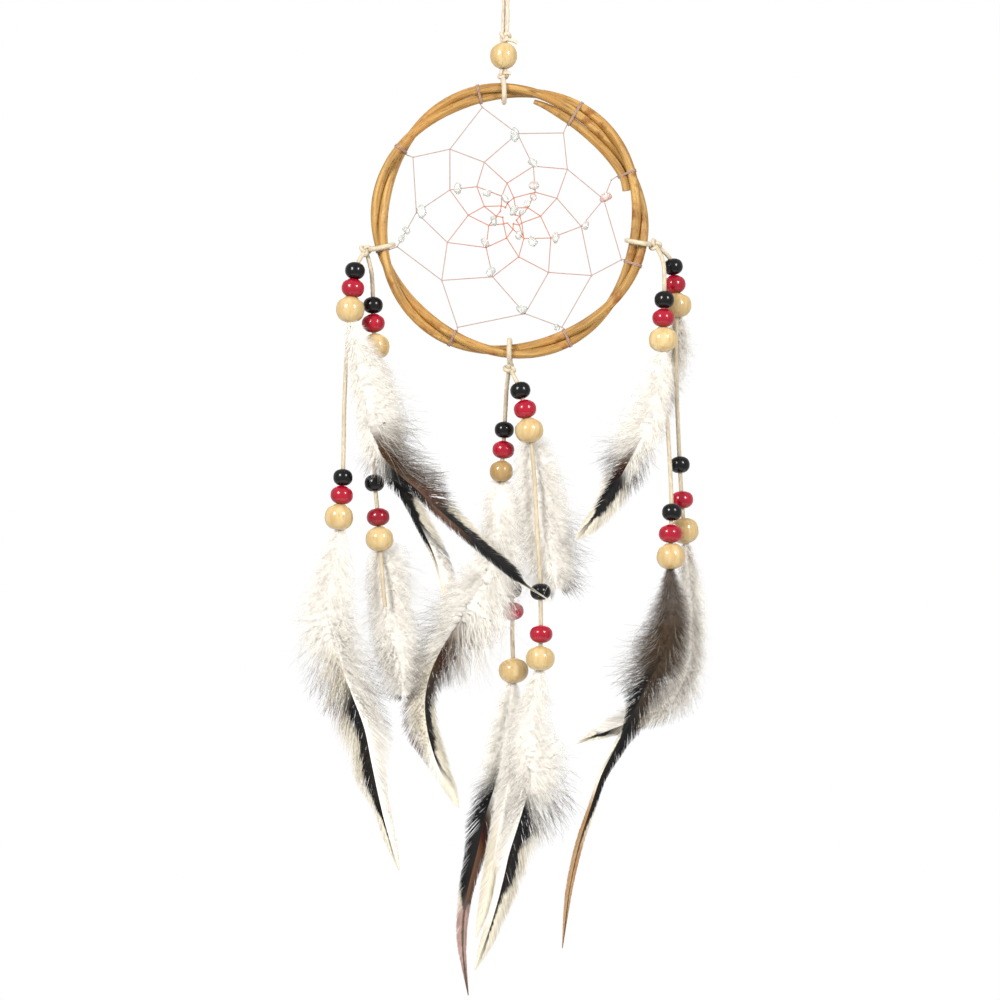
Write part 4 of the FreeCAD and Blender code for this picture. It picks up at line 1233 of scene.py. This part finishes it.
# Each feather: its bead, how far behind it the feather lies, its turn about the upright in
# degrees, where it has one, and stations down the shaft:
# across, back, up, width of the left and the right side, fluff, and each side's paint, or
# one paint for both. Places and widths are in millimetres.
FEATHERS = {
    "left_outer_upper": {
        "bead": ("left_outer", 0), "back": -2.1, "turn": -9.0, "stations": [
            (0.6, 0.6, -3.5, 1.5, 1.5, 1.0, "down"),
            (1.6, 0.4, -10, 5, 6, 1.0, "down"),
            (4.2, 0, -26, 6, 14, 1.0, "down"),
            (9, 0, -46, 8, 17, 1.0, "down", "tipped"),
            (12.8, 0, -60, 9, 15, 0.75, "tipped", "rooted"),
            (19, 0, -68.5, 3.5, 13, 0.5, "black", "rooted"),
            (29, 0, -77, 3, 8, 0.35, "black", "rusty"),
            (40, 0, -87, 3, 5.5, 0.2, "brown", "striped"),
            (54, 0, -99, 2.8, 3.8, 0.1, "black", "half"),
            (67, 0, -110, 2.2, 2.8, 0.05, "black"),
            (75, 0, -117, 0.8, 0.8, 0.0, "half"),
            (86.5, 0, -124.5, 0.15, 0.15, 0.0, "cream"),
        ]},
    "left_inner_upper": {
        "bead": ("left_inner", 0), "back": -1.75, "stations": [
            (0.3, 0.6, -3.5, 1.5, 1.5, 1.0, "down"),
            (1, 0.6, -12, 5, 7, 1.0, "down"),
            (1.6, 0.4, -30, 6, 10, 1.0, "down", "tipped"),
            (3, 0, -45, 5, 9, 0.8, "tipped", "dark_tipped"),
            (6.5, 0, -55.5, 3, 6, 0.4, "black", "dusky"),
            (12.8, 0, -64.5, 2.4, 5, 0.12, "black", "striped"),
            (18.8, 0, -75.6, 2.2, 5.4, 0.06, "black", "lined"),
            (24, 0, -86.5, 1.6, 5.4, 0.05, "striped", "flecked"),
            (27.9, 0, -97, 1.3, 5.0, 0.03, "cream", "pale"),
            (29.6, 0, -106, 0.8, 2.6, 0.02, "cream"),
            (30.4, 0, -114, 0.15, 0.4, 0.0, "cream"),
        ]},
    "left_outer_lower": {
        "bead": ("left_outer", 1), "back": 0.0, "stations": [
            (0.7, 0.4, -3.5, 1.5, 1.5, 1.0, "down"),
            (-0.6, 0.3, -12, 6, 6, 1.0, "down"),
            (-3.6, 0, -26, 9, 12, 1.0, "down"),
            (-5.2, 0, -39, 14, 14, 1.0, "down"),
            (-3.0, 0, -52, 15, 13, 0.85, "tipped", "flecked"),
            (2, 0, -66, 12, 12, 0.5, "speckled", "tipped"),
            (6, 0, -77, 11.5, 10.5, 0.25, "striped", "flecked"),
            (11, 0, -90.5, 9.5, 7.5, 0.12, "striped", "pale"),
            (14, 0, -105, 6.5, 5, 0.08, "half", "pale"),
            (17, 0, -119.5, 3.4, 4.0, 0.05, "half", "pale"),
            (20.5, 0, -134, 2.4, 3.0, 0.03, "lined", "pale"),
            (25.6, 0, -151, 0.2, 0.3, 0.0, "cream"),
        ]},
    "left_inner_lower": {
        "bead": ("left_inner", 1), "back": 1.75, "stations": [
            (0.3, 0, -3.5, 3, 4, 1.0, "down"),
            (0.8, 2, -8, 7, 13, 1.0, "down"),
            (2.5, 4, -20, 10, 12, 1.0, "down"),
            (4.5, 4, -32, 11, 11, 1.0, "down"),
            (7, 3, -45, 12, 13, 0.95, "flecked", "tipped"),
            (8.8, 2, -56, 9, 9, 0.8, "flecked", "tipped"),
            (10.4, 0, -67, 2, 2, 0.4, "dark_tipped"),
        ]},
    "bottom_right_upper": {
        "bead": ("bottom_right", 0), "back": 1.75, "stations": [
            (0.3, 0, -3.5, 2, 2, 1.0, "down"),
            (1.2, 2.5, -8, 8, 10, 1.0, "down"),
            (3.6, 4.5, -24, 12, 13, 1.0, "down"),
            (6.4, 4.5, -42, 14, 14, 1.0, "down", "tipped"),
            (9.2, 3, -56, 12, 13, 0.9, "down", "tipped"),
            (11.8, 0, -67, 3, 3, 0.5, "tipped", "dark_tipped"),
        ]},
    "bottom_left_upper": {
        "bead": ("bottom_left", 0), "back": 1.75, "stations": [
            (-0.4, 0, -3.5, 2, 3, 1.0, "down"),
            (-1.2, -2.5, -9, 7, 9, 1.0, "down"),
            (-2.0, -7, -20, 7, 12, 1.0, "down"),
            (-3.6, -8, -34, 8, 15.5, 1.0, "down"),
            (-7.6, -8, -47, 13, 19, 1.0, "down"),
            (-14.5, -7, -59, 15, 23, 0.97, "tipped", "down"),
            (-23.5, -3, -73, 9, 12, 0.6, "tipped", "rooted"),
            (-30, -1, -86, 8, 6, 0.3, "speckled", "dusky"),
            (-32.8, 0, -98.5, 8, 6, 0.15, "speckled", "striped"),
            (-32, 0, -111, 5.5, 6.2, 0.08, "speckled", "striped"),
            (-28.6, 0, -124, 3.2, 4.6, 0.05, "pale", "lined"),
            (-24, 0, -134.5, 2.0, 3, 0.03, "cream"),
            (-19, 0, -145, 0.2, 0.4, 0.0, "cream"),
        ]},
    "bottom_left_lower": {
        "bead": ("bottom_left", 1), "back": 0.0, "stations": [
            (-0.5, 0, -3.5, 1.5, 1.5, 1.0, "down"),
            (-1.6, 0, -12, 5, 6, 1.0, "down"),
            (-3.7, 0, -25.5, 7, 9, 1.0, "down"),
            (-5.6, 0, -39, 9, 9, 0.95, "down"),
            (-8.2, 0, -51, 7.5, 6, 0.42, "black", "flecked"),
            (-11.8, 0, -62.5, 6.2, 5, 0.07, "black", "dusky"),
            (-15.7, 0, -79, 4.8, 3.2, 0.03, "black", "brown"),
            (-19.4, 0, -93.5, 3.4, 2.6, 0.05, "half", "brown"),
            (-21, 0, -102.5, 3.0, 2.2, 0.03, "pink"),
            (-21.9, 0, -113, 2.4, 1.8, 0.03, "pink"),
            (-21.6, 0, -124, 1.4, 1.2, 0.02, "pink"),
            (-19.6, 0, -140, 0.15, 0.2, 0.0, "brown"),
        ]},
    "bottom_right_lower": {
        "bead": ("bottom_right", 1), "back": 0.0, "stations": [
            (0, 0, -3.5, 1.5, 1.5, 1.0, "down"),
            (-1.4, 0, -11, 5, 6, 1.0, "down"),
            (-3.6, 0, -22, 7, 9, 1.0, "down"),
            (-5.2, 0, -34, 10, 14, 1.0, "down"),
            (-4.2, 0, -45, 11, 18, 0.95, "down", "tipped"),
            (-4.6, 0, -55, 9, 15, 0.7, "flecked", "dark_tipped"),
            (-6.9, 0, -64, 7, 10, 0.35, "flecked", "half"),
            (-10.2, 0, -74.5, 6, 9, 0.12, "pale", "striped"),
            (-13.2, 0, -84, 4.2, 7.5, 0.08, "pale", "half"),
            (-15.4, 0, -93.5, 3, 6, 0.05, "pale", "striped"),
            (-18.2, 0, -104.5, 2.6, 4.6, 0.04, "pale", "lined"),
            (-21.8, 0, -116.5, 2.4, 3.4, 0.03, "cream", "lined"),
            (-28, 0, -133.5, 0.2, 0.3, 0.0, "cream"),
        ]},
    "bottom_right_rear": {
        "bead": ("bottom_right", 1), "back": 1.75, "stations": [
            (0.3, 0, -4, 0.6, 0.6, 0.8, "down"),
            (-4.3, 0, -18, 4, 4, 0.9, "down"),
            (-11, 0, -44, 5, 5, 0.7, "down"),
            (-15.2, 0, -61, 4, 4, 0.2, "pale"),
            (-18, 0, -75, 4, 3.6, 0.08, "cream", "pale"),
            (-21, 0, -91, 3.4, 3, 0.05, "cream"),
            (-24, 0, -106, 2.2, 2.2, 0.03, "cream"),
            (-27.4, 0, -120, 0.2, 0.2, 0.0, "cream"),
        ]},
    "right_front_upper": {
        "bead": ("right_front", 0), "back": -1.75, "stations": [
            (-0.2, 0.6, -3.5, 1.5, 1.5, 1.0, "down"),
            (-0.8, 0.4, -11, 6, 5, 1.0, "down"),
            (-2, 0, -22, 10, 7, 1.0, "down"),
            (-5.2, 0, -34, 14, 9, 1.0, "down"),
            (-9.6, 0, -43, 13, 9, 0.85, "tipped"),
            (-14, 0, -51.5, 8, 8, 0.5, "rooted", "dark_tipped"),
            (-18.4, 0, -59.5, 5, 6.5, 0.2, "half", "striped"),
            (-24, 0, -68.5, 3.6, 5.2, 0.1, "half", "striped"),
            (-29.8, 0, -76.5, 2.4, 3.4, 0.05, "lined"),
            (-37.4, 0, -85.5, 0.2, 0.3, 0.0, "cream"),
        ]},
    "right_back_upper": {
        "bead": ("right_back", 0), "back": 1.75, "stations": [
            (0, 0, -3.5, 1.5, 1.5, 1.0, "down"),
            (0, 0, -12, 5, 7, 1.0, "down"),
            (-1.6, 0, -22, 6, 8, 1.0, "down"),
            (-4.6, 0, -34, 6, 6, 0.8, "down", "tipped"),
            (-7.8, 0, -46, 4, 4, 0.3, "pale", "striped"),
            (-10.8, 0, -57, 0.3, 0.3, 0.0, "cream"),
        ]},
    "right_front_lower": {
        "bead": ("right_front", 1), "back": 0.0, "stations": [
            (-0.4, 0, -3.5, 1.2, 1.2, 1.0, "smoke"),
            (-0.3, 0, -11, 4.5, 5, 1.0, "smoke"),
            (0.2, 0, -20, 9, 8, 1.0, "smoke"),
            (-0.6, 0, -31, 13, 11, 1.0, "smoke_tipped"),
            (-4.2, 0, -43.5, 15, 12, 0.9, "smoke_tipped"),
            (-10.4, 0, -56, 6, 8, 0.42, "black", "smoke_tipped"),
            (-16.4, 0, -68.5, 2.2, 4.8, 0.08, "black"),
            (-22.2, 0, -79.5, 1.5, 3.6, 0.03, "lined", "black"),
            (-29.2, 0, -93, 1.3, 2.5, 0.02, "cream", "black"),
            (-34, 0, -107, 1.5, 2.2, 0.03, "tan", "half"),
            (-39.4, 0, -124, 1.8, 1.8, 0.03, "tan", "tan_lined"),
            (-43.6, 0, -144, 1.5, 1.3, 0.02, "tan", "tan_lined"),
            (-46.4, 0, -167.5, 0.15, 0.2, 0.0, "tan", "brown"),
        ]},
    "right_back_lower": {
        "bead": ("right_back", 1), "back": 0.0, "stations": [
            (0.4, 0, -3.5, 1.2, 1.2, 1.0, "down"),
            (1.4, 0, -13, 4, 4, 1.0, "down"),
            (3, 0, -30, 7, 6, 1.0, "down"),
            (3, 0, -50, 9, 7, 0.95, "down"),
            (0.5, 0, -63, 9, 8, 0.7, "down", "flecked"),
            (-6, 0, -73.5, 8, 6, 0.4, "flecked"),
            (-19, 0, -80.8, 6, 4, 0.15, "pale", "speckled"),
            (-32, 0, -86, 3.2, 2.3, 0.03, "pale", "half"),
            (-38, 0, -88.4, 1.8, 1.3, 0.02, "lined", "striped"),
            (-45.8, 0, -91.5, 0.3, 0.3, 0.0, "cream"),
        ]},
}
for number, (name, plan) in enumerate(FEATHERS.items()):
    strand, level = plan["bead"]
    runs = []
    keys = ("hand", "reach", "fluff", "share", "speckle", "inner", "outer")
    carried_values = {key: [] for key in keys}
    for hand in (-1.0, 1.0):
        runs.append([Vector(station[:3]) * MM for station in plan["stations"]])
        for station in plan["stations"]:
            left, right, fluff, *paints = station[3:]
            reach = (right if hand > 0 else left) * MM
            inner, share, outer, speckle = PAINTS[paints[-1 if hand > 0 else 0]]
            values = (hand, reach, fluff, share, speckle, PIGMENTS[inner], PIGMENTS[outer])
            for key, value in zip(keys, values):
                carried_values[key].append(value)
    piece = grow(thread_up(f"{name}_plume", runs, **carried_values), feather_growth,
                 seed=100 + 10 * number, material=plume)
    at = bead_places[strand, level, "natural"] + Vector((0, plan["back"], 0))
    place = Matrix.Translation(at * MM) @ Matrix.Rotation(math.radians(plan.get("turn", 0.0)), 4, "Z")
    piece.data.transform(place)
    belong(piece, f"{strand}_strand", f"{name}_feather")
